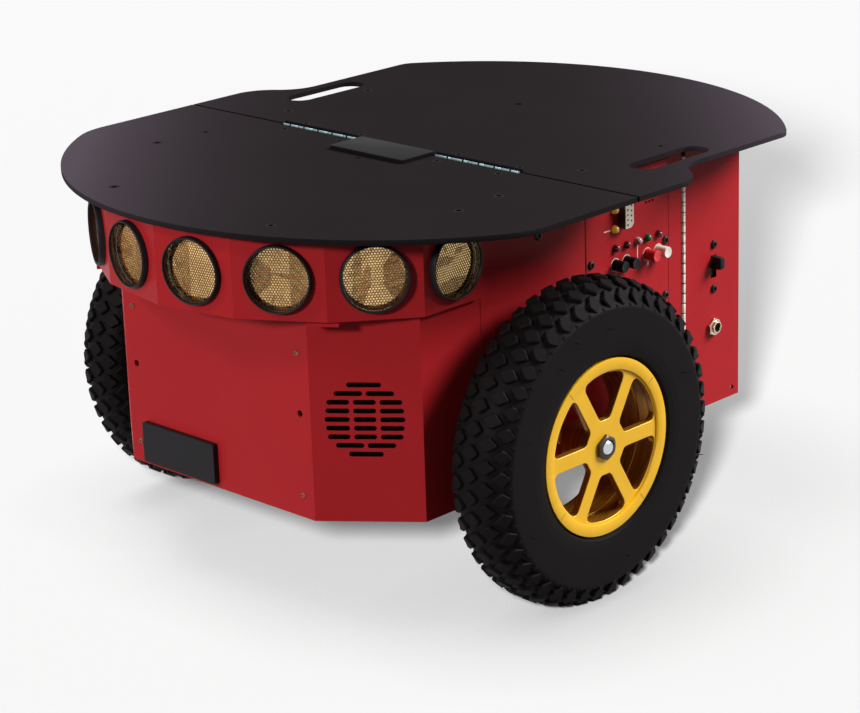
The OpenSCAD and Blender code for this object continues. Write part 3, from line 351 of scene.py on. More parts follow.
plain = dict(  # colour, roughness, then what differs from the rest
    speakerCloth=dict(colour=(0.0042, 0.0036, 0.0032), rough=0.8, shine=0.0),
    blackPlastic=dict(colour=(0.0115, 0.0100, 0.0115), rough=0.44, shine=0.12),
    darkPlastic=dict(colour=(0.025, 0.023, 0.022), rough=0.6),
    recess=dict(colour=(0.034, 0.015, 0.011), rough=0.06, spread=0.03, depth=0.01 * mm, shine=1.0),
    deckScrew=dict(colour=(0.022, 0.020, 0.020), rough=0.5, shine=0.0),
    deckSocket=dict(colour=(0.002, 0.002, 0.002), rough=0.6, shine=0.0),
    coverCoat=dict(colour=(0.0085, 0.0078, 0.0083), rough=0.5, shine=0.01),
    grille=dict(colour=(0.310, 0.120, 0.026), rough=0.42, metallic=0.2, shine=0.2),
    # The foil glows by its emission, painted light that keeps the dots bright in the shade of the recess
    foil={"colour": (1.0, 0.86, 0.42), "rough": 0.45, "grain": 3 * mm, "depth": 0.05 * mm,
          "Emission Color": (1.0, 0.74, 0.36), "Emission Strength": 0.75},
    blackScrew=dict(colour=(0.010, 0.009, 0.010), rough=0.34, metallic=0.1, shine=0.2),
    copperScrew=dict(colour=(0.30, 0.15, 0.10), rough=0.35, metallic=0.7),
    jack=dict(colour=(0.70, 0.62, 0.48), rough=0.24, metallic=1.0),
    bore=dict(colour=(0.055, 0.022, 0.016), rough=0.5),
    nut=dict(colour=(0.050, 0.030, 0.019), rough=0.36, metallic=0.4),
    motor=dict(colour=(0.48, 0.49, 0.52), rough=0.30, metallic=1.0, grain=0.4 * mm),
    gearbox=dict(colour=(0.45, 0.46, 0.48), rough=0.5, metallic=1.0),
    # The amber lenses glow by their emission, painted light that keeps them bright in the deck's shade
    amberLens={"colour": (0.62, 0.30, 0.010), "rough": 0.10, "spread": 0.02, "Coat Weight": 0.6,
               "Emission Color": (0.62, 0.30, 0.010), "Emission Strength": 0.22},
    redLens=dict(colour=(0.150, 0.006, 0.014), rough=0.16, spread=0.02, shine=0.35),
    clearLens=dict(colour=(0.52, 0.34, 0.36), rough=0.16, spread=0.02),
    greenLens=dict(colour=(0.008, 0.130, 0.036), rough=0.16, spread=0.02, shine=0.35),
    socketCream=dict(colour=(0.62, 0.55, 0.44), rough=0.4),
    socketSide=dict(colour=(0.022, 0.009, 0.008), rough=0.35),
    printWhite=dict(colour=(0.80, 0.72, 0.64), rough=0.5),
    blackButton=dict(colour=(0.0070, 0.0060, 0.0075), rough=0.30, shine=0.12),
    redButton=dict(colour=(0.68, 0.018, 0.022), rough=0.28),
    whiteButton=dict(colour=(0.86, 0.80, 0.68), rough=0.32),
    scribe=dict(colour=(0.05, 0.022, 0.006), rough=0.6),
    stud=dict(colour=(0.66, 0.70, 0.74), rough=0.22, metallic=1.0),
    casterRubber=dict(colour=(0.045, 0.045, 0.05), rough=0.55))
boardFace = dict(behindWall=8.02 * mm, behindNose=12.62 * mm, behindPanel=10.38 * mm)  # where each board's parts begin
finishes = {name: plainFinish(name, **look) for name, look in plain.items()}
finishes.update(
    # panelRed, flangeRed and noseRed are red with painted shade in the panel gap, the switch slot and the speaker slots
    red=redPowderCoat("redPowderCoat"), panelRed=redPowderCoat("panelPowderCoat", panelEdge),
    flangeRed=redPowderCoat("flangePowderCoat", switchSlot), noseRed=redPowderCoat("nosePowderCoat", grilleSlots),
    deck=deckPowderCoat(), hingeSteel=knuckleSteel(), hingeCream=creamHinge(), battery=batteryCase(),
    rubber=tyreRubber(), goldRim=goldAnodised(), barrel=turnedBarrel(),
    powerBoard=circuitBoard("powerBoard", 1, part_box("battery_bay_wall")[0][1] - boardFace["behindWall"], True),
    noseBoard=circuitBoard("noseBoard", 1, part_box("nose_shell")[0][1] + boardFace["behindNose"], False),
    panelBoard=circuitBoard("panelBoard", 0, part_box("control_panel")[0][0] - boardFace["behindPanel"], False))

finishOfSlot = dict(
    red_paint="red", deck_black="deck", black_plastic="blackPlastic", gold_mesh="grille",
    dark_plastic="darkPlastic", hinge_steel="hingeSteel", hinge_cream="hingeCream", black_screw="blackScrew",
    copper_screw="copperScrew", battery_case="battery", motor_steel="motor", gearbox_alloy="gearbox",
    circuit_board="powerBoard", red_lens="redLens", black_button="blackButton", red_button="redButton",
    white_button="whiteButton", tyre_rubber="rubber", gold_rim="goldRim", caster_rubber="casterRubber")
finishOfNode = dict(
    controller_board="noseBoard", control_board="panelBoard", access_cover="coverCoat", speakers="speakerCloth",
    control_panel="panelRed", battery_door_flange="flangeRed", nose_shell="noseRed")
slotOfNode = {part["node"]: part["material_slot"] for part in frame["record"]["subparts"]}

for node, itsSlot in slotOfNode.items():
    nodes[node].data.materials.clear()
    nodes[node].data.materials.append(finishes[finishOfNode.get(node, finishOfSlot[itsSlot])])

# Folded sheet and moulded pieces get the small rounded edges that real ones have, in millimetres
softEdges = dict(
    nose_shell=0.6, nose_floor=0.5, left_side_panel=0.5, right_side_panel=0.5, sonar_ring=0.6, sonar_tray=0.4,
    floor_pan=0.5, floor_riser=0.4, battery_floor=0.4, front_bulkhead=0.4, battery_bay_wall=0.4,
    control_panel=0.25, battery_door=0.5, battery_door_flange=0.35, front_deck=0.5, rear_deck=0.5,
    access_cover=0.35, nose_port_cover=0.7, caster_fork=0.8, caster_mount=0.5, left_gearbox=1.0,
    right_gearbox=1.0, body_hinge_leaf=0.12, door_hinge_leaf=0.12, rear_deck_hinges=0.15,
    front_deck_hinges=0.15)
edging = dict(weld=0.005 * mm, flat=0.5, corner=35, segments=2)  # angles in degrees
for node, width in softEdges.items():
    weld = nodes[node].modifiers.new("weld", "WELD")
    weld.merge_threshold = edging["weld"]
    flatten = nodes[node].modifiers.new("flatten", "DECIMATE")
    flatten.decimate_type = "DISSOLVE"
    flatten.angle_limit = math.radians(edging["flat"])
    soften = nodes[node].modifiers.new("soften", "BEVEL")
    soften.width = width * mm
    soften.segments = edging["segments"]
    soften.limit_method = "ANGLE"
    soften.angle_limit = math.radians(edging["corner"])
    soften.use_clamp_overlap = True
print("CAD nodes finished")


# Mesh helpers: a frame is a matrix whose Z axis is the way a piece points

def facing(place, direction, turn=0.0):
    way = Vector(direction).to_track_quat("Z", "Y").to_matrix().to_4x4()
    return Matrix.Translation(place) @ way @ Matrix.Rotation(turn, 4, "Z")


def circlePoints(radius, count):
    return polarPoints([(math.tau * step / count, radius) for step in range(count)])


def polarPoints(outline, share=1.0, limit=math.inf):  # outline is (angle, reach) pairs
    return [(min(share * reach, limit) * math.cos(angle), min(share * reach, limit) * math.sin(angle))
            for angle, reach in outline]


def hexagon(flat, steps):  # angle and reach round a hexagon, flat being half its width over the flats
    angles = [math.tau * step / steps for step in range(steps)]
    return [(angle, flat / math.cos((angle + math.pi / 6) % (math.pi / 3) - math.pi / 6)) for angle in angles]


def joinRings(shape, rings, finish=0):
    for low, high in zip(rings, rings[1:]):
        count = max(len(low), len(high))
        for step in range(count):
            following = (step + 1) % count
            corners = [low[step % len(low)], low[following % len(low)],
                       high[following % len(high)], high[step % len(high)]]
            corners = [vertex for index, vertex in enumerate(corners) if vertex not in corners[:index]]
            if len(corners) > 2:
                shape.faces.new(corners).material_index = finish


def ring(shape, place, points, height):
    return [shape.verts.new(place @ Vector((x, y, height))) for x, y in points]


def hexRings(shape, place, flat, steps, profile):  # a nut's sides, their corners cut off at each height's limit
    return [ring(shape, place, polarPoints(hexagon(flat, steps), limit=limit), height) for height, limit in profile]


def circleRings(shape, place, profile, steps):  # profile is (height, radius) pairs, and a radius of 0 is one point
    return [ring(shape, place, circlePoints(radius, steps) if radius else [(0, 0)], height)
            for height, radius in profile]


def turned(shape, place, profile, steps=64, finish=0):
    joinRings(shape, circleRings(shape, place, profile, steps), finish)


def prism(shape, place, outline, low, high, chamfer=0.0, finish=0):  # a solid with a straight outline
    middle = Vector((sum(x for x, y in outline), sum(y for x, y in outline))) / len(outline)
    reach = max((Vector(point) - middle).length for point in outline)
    share = 1 - chamfer / reach
    inner = [tuple(middle + (Vector(point) - middle) * share) for point in outline]
    rings = [ring(shape, place, outline, low), ring(shape, place, outline, high - chamfer),
             ring(shape, place, inner, high)]
    joinRings(shape, rings, finish)
    shape.faces.new(rings[-1]).material_index = finish
    shape.faces.new(list(reversed(rings[0]))).material_index = finish


def boxOutline(width, height, corner=0.0, steps=4):
    x, y = width / 2, height / 2
    if corner == 0:
        return [(-x, -y), (x, -y), (x, y), (-x, y)]
    points = []
    for index, (signX, signY) in enumerate(((1, 1), (-1, 1), (-1, -1), (1, -1))):
        for step in range(steps + 1):
            angle = math.radians(90 * index + 90 * step / steps)
            points.append((signX * (x - corner) + corner * math.cos(angle),
                           signY * (y - corner) + corner * math.sin(angle)))
    return points


def addPiece(name, shape, used, body, replaced=(), sharp=32):
    mesh = bpy.data.meshes.new(name)
    bmesh.ops.recalc_face_normals(shape, faces=shape.faces)
    shape.to_mesh(mesh)
    shape.free()
    for finish in used:
        mesh.materials.append(finishes[finish])
    mesh.shade_smooth()
    mesh.set_sharp_from_angle(angle=math.radians(sharp))
    made = bpy.data.objects.new(name, mesh)
    bpy.context.collection.objects.link(made)
    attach(made, body)
    if replaced:
        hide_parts(*replaced)
    return made


def solidsOf(node):  # lowest and highest corner of each separate solid in a CAD node
    shape = bmesh.new()
    shape.from_mesh(nodes[node].data)
    bmesh.ops.remove_doubles(shape, verts=shape.verts, dist=0.002 * mm)
    waiting = set(shape.verts)
    boxes = []
    while waiting:
        reached = [waiting.pop()]
        solid = []
        while reached:
            vertex = reached.pop()
            solid.append(vertex.co.copy())
            for edge in vertex.link_edges:
                other = edge.other_vert(vertex)
                if other in waiting:
                    waiting.discard(other)
                    reached.append(other)
        boxes.append((Vector(map(min, zip(*solid))), Vector(map(max, zip(*solid)))))
    shape.free()
    return sorted(boxes, key=lambda pair: tuple(round(part, 4) for part in (*pair[0], *pair[1])))


# Drive wheels

wheelMiddle = middleOf("left_tyre")
halfTyre, _, wheelR = (Vector(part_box("left_tyre")[1]) - wheelMiddle)[:]
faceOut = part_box("left_rim")[1][0] - wheelMiddle.x
tread = dict(
    around=45, groove=2.6 * mm, rows=(0, 11.2, 22.0), wide=11.4 * mm, tall=8.6 * mm, chamfer=0.5 * mm,
    shoulder=30.2 * mm, shoulderWide=6.2 * mm, shoulderTall=5.2 * mm, shoulderDeep=0.8 * mm,
    grooveEnd=28.7 * mm, fade=4 * mm, lines=(60 * mm, 63.5 * mm), lineTall=0.35 * mm, lineWide=0.5 * mm,
    hairs=34, hairsAt=(-26, -24, 25, 27, 36, 40), hairLength=4.8 * mm, hairR=(0.32 * mm, 0.24 * mm), lean=0.012,
    seed=7)
beadR = 50 * mm
# Section of the tyre from the tread to the bead: distance from the middle plane, and the radius
# as a share of the height from bead to tread
tyreSection = [(halfTyre - 21 * mm, 1.0), (halfTyre - 15 * mm, 1.0), (halfTyre - 9 * mm, 0.965),
               (halfTyre - 5.5 * mm, 0.92), (halfTyre - 2.6 * mm, 0.85), (halfTyre - 0.8 * mm, 0.76),
               (halfTyre - 0.2 * mm, 0.64), (halfTyre - 0.1 * mm, 0.3)]


def tyrePoints():
    points = [(across, beadR + share * (wheelR - beadR)) for across, share in tyreSection]
    smooth = []
    for index in range(len(points) - 1):
        before, start = points[max(index - 1, 0)], points[index]
        end, after = points[index + 1], points[min(index + 2, len(points) - 1)]
        for step in range(6):
            t = step / 6
            smooth.append(tuple(0.5 * (2 * b + (c - a) * t + (2 * a - 5 * b + 4 * c - d) * t * t
                                       + (3 * b - a - 3 * c + d) * t ** 3)
                                for a, b, c, d in zip(before, start, end, after)))
    smooth.append(points[-1])
    return smooth


def tyreSurface(points, arc, sunk=0.0):  # point and outward way on the section, at a length from the middle
    side = -1 if arc < 0 else 1
    rest = abs(arc)
    for start, end in zip(points, points[1:]):
        length = math.dist(start, end)
        if rest <= length or end is points[-1]:
            share = rest / length
            across = start[0] + (end[0] - start[0]) * share
            radius = start[1] + (end[1] - start[1]) * share
            way = ((end[0] - start[0]) / length, (end[1] - start[1]) / length)
            return side * (across + way[1] * sunk), radius - way[0] * sunk
        rest -= length


def knob(shape, place, points, arc, angle, wide, tall, deep):
    corners = [(-0.5, -0.07), (-0.5, 0.07), (-0.10, 0.5), (0.10, 0.5), (0.5, 0.07), (0.5, -0.07),
               (0.10, -0.5), (-0.10, -0.5)]
    rings = []
    for size, sunk in ((1.12, deep + 0.4 * mm), (1.0, tread["chamfer"]), (0.86, 0.0)):
        turnedRing = []
        for x, y in corners:
            across, radius = tyreSurface(points, arc + x * wide * size, sunk)
            swing = angle + y * tall * size / wheelR
            turnedRing.append(shape.verts.new(
                place @ Vector((radius * math.cos(swing), radius * math.sin(swing), across))))
        rings.append(turnedRing)
    joinRings(shape, rings)
    shape.faces.new(rings[-1])


def hair(shape, place, points, arc, angle, length):
    across, radius = tyreSurface(points, arc)
    outAcross, outRadius = tyreSurface(points, arc, -length)
    root = Vector((radius * math.cos(angle), radius * math.sin(angle), across))
    swing = angle + tread["lean"]
    tip = Vector((outRadius * math.cos(swing), outRadius * math.sin(swing), outAcross))
    way = facing(root, tip - root)
    rootR, middleR = tread["hairR"]
    turned(shape, place @ way, [(-0.4 * mm, rootR), (length * 0.6, middleR), (length, 0)], 5)


def wheelPlace(sign, across=None):  # local Z is the axle, pointing out of the robot on this side
    middle = Vector((sign * wheelMiddle.x if across is None else across, wheelMiddle.y, wheelMiddle.z))
    return facing(middle, (sign, 0, 0))


def makeTyre(side, sign):
    shape = bmesh.new()
    place = wheelPlace(sign)
    points = tyrePoints()
    reach = sum(math.dist(start, end) for start, end in zip(points, points[1:]))
    carcass = []
    for step in range(49):  # sunk between the knobs, less and less towards the shoulder
        arc = reach * step / 48
        fade = min(1.0, max(0.0, (tread["grooveEnd"] - arc) / tread["fade"]))
        carcass.append(tyreSurface(points, arc, tread["groove"] * fade))
    bead = [(faceOut - 0.9 * mm, 54.6 * mm), (faceOut - 2.2 * mm, 53.9 * mm), (faceOut - 3 * mm, 53 * mm),
            (faceOut - 3.1 * mm, beadR)]
    for index, (across, radius) in enumerate(carcass):  # two fine raised lines run round the sidewall
        if any(abs(radius - line) < tread["lineWide"] for line in tread["lines"]):
            carcass[index] = (across + tread["lineTall"], radius)
    half = carcass + [(halfTyre - 0.3 * mm, 58 * mm), (halfTyre - 0.9 * mm, 55.8 * mm)] + bead
    profile = half + [(-across, radius) for across, radius in reversed(half)]
    turned(shape, place, profile + [profile[0]], 144)
    bmesh.ops.remove_doubles(shape, verts=shape.verts, dist=0.001 * mm)
    pitch = math.tau / tread["around"]
    knobSize = (tread["wide"], tread["tall"], tread["groove"])
    shoulderSize = (tread["shoulderWide"], tread["shoulderTall"], tread["shoulderDeep"])
    rows = [(arc * mm, 0.5 * (index % 2), knobSize) for index, row in enumerate(tread["rows"])
            for arc in ((row, -row) if row else (0,))]
    rows += [(arc, 0.5, shoulderSize) for arc in (tread["shoulder"], -tread["shoulder"])]
    for arc, shift, size in rows:
        for step in range(tread["around"]):
            knob(shape, place, points, arc, (step + shift) * pitch, *size)
    chance = random.Random(tread["seed"])
    for step in range(tread["hairs"]):
        arc = chance.choice(tread["hairsAt"]) * mm
        hair(shape, place, points, arc, chance.uniform(0, math.tau), tread["hairLength"] * chance.uniform(0.6, 1))
    addPiece(side + "_treaded_tyre", shape, ["rubber"], side + "_wheel", [side + "_tyre"], sharp=28)


rim = dict(lipR=53.5 * mm, barrelR=46.2 * mm, spokes=6, spokeWide=9.2 * mm, hubR=17 * mm, plate=4.6 * mm,
           edge=0.35 * mm, sunk=1.6 * mm, outerFillet=5.5 * mm, innerFillet=3.4 * mm, windowR=45.2 * mm, turn=30,
           scribes=4, scribeTurn=38, scribeR=50 * mm, scribeLong=5.4 * mm, scribeWide=0.35 * mm)


def windowOutline(turn):  # one opening between two spokes, corners rounded
    half = math.pi / rim["spokes"]
    offset = rim["spokeWide"] / 2

    def onSpoke(radius, sign):  # where a spoke's side meets a circle
        run = math.sqrt(radius ** 2 - offset ** 2)
        x = run * math.cos(half) + offset * math.sin(half)
        y = run * math.sin(half) - offset * math.cos(half)
        return Vector((x, sign * y))

    inner, outer = rim["hubR"], rim["windowR"]
    innerFillet, outerFillet = rim["innerFillet"], rim["outerFillet"]
    tips = [onSpoke(inner, 1), onSpoke(outer, 1), onSpoke(outer, -1), onSpoke(inner, -1)]

    def straight(start, end, first, last):
        way = (end - start).normalized()
        return [start + way * first, end - way * last]

    def arcBetween(start, end, radius, inset):
        first, last = math.atan2(start.y, start.x), math.atan2(end.y, end.x)
        step = inset / radius * (1 if last > first else -1)
        first, last = first + step, last - step
        return [Vector((radius * math.cos(first + (last - first) * n / 12),
                        radius * math.sin(first + (last - first) * n / 12))) for n in range(13)]

    def corner(before, tip, after):
        return [before * (1 - t) ** 2 + tip * 2 * t * (1 - t) + after * t * t for t in (0.2, 0.4, 0.6, 0.8)]

    runs = [straight(tips[0], tips[1], innerFillet, outerFillet),
            arcBetween(tips[1], tips[2], outer, outerFillet),
            straight(tips[2], tips[3], outerFillet, innerFillet),
            arcBetween(tips[3], tips[0], inner, innerFillet * 0.8)]
    points = []
    for run, tip, following in zip(runs, tips[1:] + tips[:1], runs[1:] + runs[:1]):
        points += run + corner(run[-1], tip, following[0])
    spin = Matrix.Rotation(turn, 2)
    return [tuple(spin @ point) for point in points]


def plateFrom(outlines, thickness, bevel):  # filled flat outlines, as a mesh centred on Z = 0
    curve = bpy.data.curves.new("plate", "CURVE")
    curve.dimensions = "2D"
    curve.fill_mode = "BOTH"
    curve.extrude = thickness / 2 - bevel
    curve.bevel_depth = bevel
    curve.offset = -bevel
    curve.bevel_resolution = 2
    for outline in outlines:
        line = curve.splines.new("POLY")
        line.points.add(len(outline) - 1)
        for point, (x, y) in zip(line.points, outline):
            point.co = (x, y, 0, 1)
        line.use_cyclic_u = True
    holder = bpy.data.objects.new("plate", curve)
    bpy.context.collection.objects.link(holder)
    mesh = bpy.data.meshes.new_from_object(holder.evaluated_get(bpy.context.evaluated_depsgraph_get()))
    bpy.data.objects.remove(holder)
    bpy.data.curves.remove(curve)
    return mesh


def addPlate(shape, mesh, place, finish, walls):  # walls is the finish of the plate's edges, which face across X
    before = len(shape.faces)
    mesh.transform(place)
    shape.from_mesh(mesh)
    shape.normal_update()
    shape.faces.ensure_lookup_table()
    for face in shape.faces[before:]:
        face.material_index = walls if abs(face.normal.x) < 0.4 else finish
    bpy.data.meshes.remove(mesh)


def makeRim(side, sign):
    shape = bmesh.new()
    place = wheelPlace(sign)
    lip, inside = rim["lipR"], rim["barrelR"]
    plateTop = faceOut - rim["sunk"]
    outerFace = [(faceOut - 3 * mm, lip - 0.1 * mm), (faceOut - 0.5 * mm, lip), (faceOut - 0.12 * mm, lip - 0.15 * mm),
                 (faceOut, lip - 0.5 * mm), (faceOut, inside + 0.7 * mm), (faceOut - 0.2 * mm, inside + 0.25 * mm),
                 (faceOut - 0.7 * mm, inside), (plateTop - 0.1 * mm, inside - 0.1 * mm)]
    turned(shape, place, outerFace, 128, 0)
    tube = [(plateTop - 0.1 * mm, inside - 0.1 * mm), (4.6 * mm, inside - 0.4 * mm), (4.3 * mm, inside - 1.1 * mm),
            (3.9 * mm, inside - 1.1 * mm), (3.6 * mm, inside - 0.4 * mm), (-faceOut + 0.6 * mm, inside)]
    turned(shape, place, tube, 128, 1)
    back = [(-faceOut + 0.6 * mm, inside), (-faceOut, inside + 0.6 * mm), (-faceOut, lip - 0.5 * mm),
            (-faceOut + 0.5 * mm, lip), (-faceOut + 3 * mm, lip - 0.1 * mm), (-faceOut + 3 * mm, beadR),
            (faceOut - 3 * mm, beadR), (faceOut - 3 * mm, lip - 0.1 * mm)]
    turned(shape, place, back, 128, 0)
    # Spoke plate with its six openings
    outline = circlePoints(inside - 0.05 * mm, 128)
    hole = circlePoints(6 * mm, 40)
    windows = [windowOutline(math.tau * n / rim["spokes"] + math.radians(rim["turn"])) for n in range(rim["spokes"])]
    spokes = plateFrom([outline, hole, *windows], rim["plate"], rim["edge"])
    addPlate(shape, spokes, place @ Matrix.Translation((0, 0, plateTop - rim["plate"] / 2)), 0, 1)
    # Boss behind the spokes, round the hub
    turned(shape, place, [(plateTop - rim["plate"], rim["hubR"] - 1 * mm), (plateTop - rim["plate"] - 3 * mm, 14 * mm),
                          (-7 * mm, 11.5 * mm), (-8 * mm, 11 * mm), (-8 * mm, 6.2 * mm)], 64, 1)
    for n in range(rim["scribes"]):
        turn = Matrix.Rotation(math.radians(rim["scribeTurn"]) + math.tau * n / rim["scribes"], 4, "Z")
        prism(shape, place @ turn @ Matrix.Translation((rim["scribeR"], 0, 0)),
              boxOutline(rim["scribeLong"], rim["scribeWide"]), faceOut - 0.3 * mm, faceOut + 0.02 * mm, finish=2)
    addPiece(side + "_spoked_rim", shape, ["goldRim", "barrel", "scribe"], side + "_wheel",
             [side + "_rim"])


hub = dict(nutFlat=8 * mm * math.cos(math.pi / 6), steps=48, corner=1.3 * mm, boreR=4.9 * mm, shoulderR=5.95 * mm,
           threadR=4.28 * mm, rootR=4.0 * mm, pitch=0.8 * mm)


def makeHub(side, sign):
    nutIn, nutOut = (abs(corner[0]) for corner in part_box(side + "_hub_nut")[::sign])
    place = wheelPlace(sign, sign * nutIn)
    top = nutOut - nutIn
    flat = hub["nutFlat"]
    shape = bmesh.new()
    rings = hexRings(shape, place, flat, hub["steps"],
                     ((0, math.inf), (top - hub["corner"], math.inf), (top - 0.7 * mm, flat + 0.35 * mm)))
    face = [(top - 0.15 * mm, flat - 0.7 * mm), (top, flat - 1.6 * mm), (top, hub["boreR"]),
            (top - 1.5 * mm, hub["boreR"] - 0.3 * mm)]
    rings += circleRings(shape, place, face, hub["steps"])
    joinRings(shape, rings)
    addPiece(side + "_hex_nut", shape, ["nut"], side + "_wheel", [side + "_hub_nut"])
    shape = bmesh.new()
    axleIn, axleOut = (abs(corner[0]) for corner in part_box(side + "_axle")[::sign])
    length, seat = axleOut - axleIn, nutIn - axleIn
    shoulder, thread = hub["shoulderR"], hub["threadR"]
    profile = [(0, 0), (0, 5.4 * mm), (0.6 * mm, shoulder), (seat, shoulder), (seat, thread)]
    height = seat + hub["pitch"] / 2
    while height < length - 1.4 * mm:
        profile += [(height, thread), (height + hub["pitch"] / 2, hub["rootR"])]
        height += hub["pitch"]
    profile += [(length - 1.0 * mm, thread), (length - 0.15 * mm, 3.5 * mm), (length, 3.2 * mm),
                (length - 0.25 * mm, 2.7 * mm), (length - 0.3 * mm, 0)]
    turned(shape, wheelPlace(sign, sign * axleIn), profile, 40)
    addPiece(side + "_threaded_axle", shape, ["stud"], side + "_wheel", [side + "_axle"])


for side, sign in (("left", 1), ("right", -1)):
    makeTyre(side, sign)
    makeRim(side, sign)
    makeHub(side, sign)
print("wheels made")


# Sonars

sonar = dict(headings=(-90, -50, -30, -10, 10, 30, 50, 90), holesR=17.75 * mm, pitch=1.67 * mm, holeR=0.62 * mm,
             thick=0.25 * mm, gap=0.35 * mm, sides=12, forward=0.3 * mm, foilR=17.3 * mm, backR=18.9 * mm,
             bore=18.45 * mm, rimR=19.88 * mm, sleeveR=19.25 * mm)


def holeCell(shape, place, x, y):  # one hexagon of the grille with its round hole
    cell = place @ Matrix.Translation((x, y, 0))
    outer, inner = hexagon(sonar["pitch"] / 2, sonar["sides"]), circlePoints(sonar["holeR"], sonar["sides"])
    joinRings(shape, [ring(shape, cell, polarPoints(outer), 0), ring(shape, cell, inner, 0),
                      ring(shape, cell, inner, -sonar["thick"])])


def makeSonars():
    discs = solidsOf("sonar_meshes")
    plates, rims = bmesh.new(), bmesh.new()
    discFront = discs[-1][1].x
    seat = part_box("sonar_ring")[1][0] - discFront
    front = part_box("sonar_bezels")[1][0] - discFront
    pitch = sonar["pitch"]
    rise = pitch * math.sqrt(3) / 2
    reach = int(sonar["holesR"] / rise) + 1
    foilAt = -sonar["thick"] - sonar["gap"]
    wall, groove, rimR, sleeveR = sonar["bore"], sonar["bore"] + 0.2 * mm, sonar["rimR"], sonar["sleeveR"]
    bore = [(foilAt, wall), (front - 5.0 * mm, wall), (front - 4.7 * mm, groove), (front - 3.3 * mm, groove),
            (front - 3.0 * mm, wall), (front - 1.2 * mm, wall)]
    lip = [(front - 1.2 * mm, wall), (front - 0.5 * mm, 18.52 * mm), (front - 0.12 * mm, 18.74 * mm),
           (front, 19.0 * mm), (front - 0.1 * mm, 19.4 * mm), (front - 0.4 * mm, 19.7 * mm), (front - 0.9 * mm, rimR),
           (seat, rimR), (seat, sleeveR), (foilAt, sleeveR), (foilAt, wall)]
    for (low, high), heading in zip(discs, sonar["headings"]):
        turn = math.radians(heading)
        place = facing((low + high) / 2, (math.sin(turn), -math.cos(turn), 0))
        place @= Matrix.Translation((0, 0, sonar["forward"]))
        for row in range(-reach, reach + 1):
            for column in range(-reach - 2, reach + 3):
                x, y = (column + 0.5 * (row % 2)) * pitch, row * rise
                if math.hypot(x, y) < sonar["holesR"]:
                    holeCell(plates, place, x, y)
        turned(plates, place, [(foilAt, 0), (foilAt, sonar["foilR"])], 64, 1)
        turned(plates, place, [(foilAt, sonar["foilR"]), (foilAt, sonar["backR"]), (foilAt - 0.3 * mm, sonar["backR"]),
                               (foilAt - 0.3 * mm, 0)], 64, 2)
        turned(rims, place, bore, 96, 1)
        turned(rims, place, lip, 96, 0)
    for shape in (plates, rims):
        bmesh.ops.remove_doubles(shape, verts=shape.verts, dist=0.004 * mm)
    addPiece("sonar_grilles", plates, ["grille", "foil", "recess"], "chassis", ["sonar_meshes"], sharp=50)
    addPiece("sonar_rims", rims, ["blackPlastic", "recess"], "chassis", ["sonar_bezels"])


makeSonars()
print("sonars made")


# Screws

def driveShape(kind, size):  # angle and reach round a hexagon or a cross recess
    if kind == "hex":
        return hexagon(size * math.cos(math.pi / 6), 24)
    arm = 0.24 * size
    tip = math.atan2(arm, size)
    quarter = [(0.0, size), (tip, math.hypot(arm, size)), (math.pi / 4, arm * math.sqrt(2)),
               (math.pi / 2 - tip, math.hypot(arm, size))]
    return [(angle + turn * math.pi / 2, reach) for turn in range(4) for angle, reach in quarter]


def screw(shape, place, headR, height, length, drive="hex", driveR=None, domed=True, used=(0, 1)):
    driveR = driveR or headR * 0.5
    outline = driveShape(drive, driveR)
    shank = headR * 0.5
    if domed:
        body = [(-length, shank), (0, shank), (0, headR), (height * 0.4, headR * 0.97), (height * 0.72, headR * 0.86),
                (height * 0.93, headR * 0.72), (height, max(headR * 0.6, driveR * 1.18))]
    else:
        body = [(-length, shank), (shank - headR, shank), (-0.2 * mm, headR), (height, headR * 0.97),
                (height, driveR * 1.2)]
    rings = [ring(shape, place, polarPoints([(angle, radius) for angle, reach in outline]), level)
             for level, radius in body]
    rings.append(ring(shape, place, polarPoints(outline), height))
    joinRings(shape, rings, used[0])
    floor = ring(shape, place, polarPoints(outline, 0.9), height - 0.55 * headR)
    joinRings(shape, [rings[-1], floor], used[1])
    shape.faces.new(floor).material_index = used[1]
    shape.faces.new(list(reversed(rings[0]))).material_index = used[0]


def makeDeckScrews(node, body):  # button heads beside the panel, flush ones in the deck
    deckTop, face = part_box("rear_deck")[1][2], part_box("control_panel")[1][0]
    shape = bmesh.new()
    for low, high in solidsOf(node):
        middle = (low + high) / 2
        if high.z > deckTop - 0.1 * mm:
            place = facing((middle.x, middle.y, deckTop - 0.25 * mm), (0, 0, 1), middle.x * 90)
            screw(shape, place, (high.x - low.x) / 2, 0.2 * mm, 5 * mm, domed=False, used=(2, 3))
        else:
            side = math.copysign(1, middle.x)
            place = facing((side * face, middle.y, middle.z), (side, 0, 0), middle.z * 90)
            screw(shape, place, (high.y - low.y) / 2 + 0.15 * mm, max(abs(low.x), high.x) - face, 4.5 * mm)
    addPiece(node.replace("_screws", "_button_head_screws"), shape, ["blackScrew", "bore", "deckScrew", "deckSocket"],
             body, [node])


noseScrew = dict(headR=1.7 * mm, head=1.2 * mm, length=4 * mm, crossR=1.05 * mm)


def makeNoseScrews():
    shape = bmesh.new()
    for low, high in solidsOf("nose_screws"):
        middle = (low + high) / 2
        place = facing((middle.x, low.y + noseScrew["head"], middle.z), (0, -1, 0), middle.z * 60)
        screw(shape, place, noseScrew["headR"], noseScrew["head"], noseScrew["length"], "cross", noseScrew["crossR"])
    addPiece("nose_cross_screws", shape, ["copperScrew", "bore"], "nose", ["nose_screws"])


thumbscrew = dict(shankR=2.2 * mm, steps=96, tooth=0.22 * mm, faceR=0.62, dishR=0.56, dish=0.5 * mm)


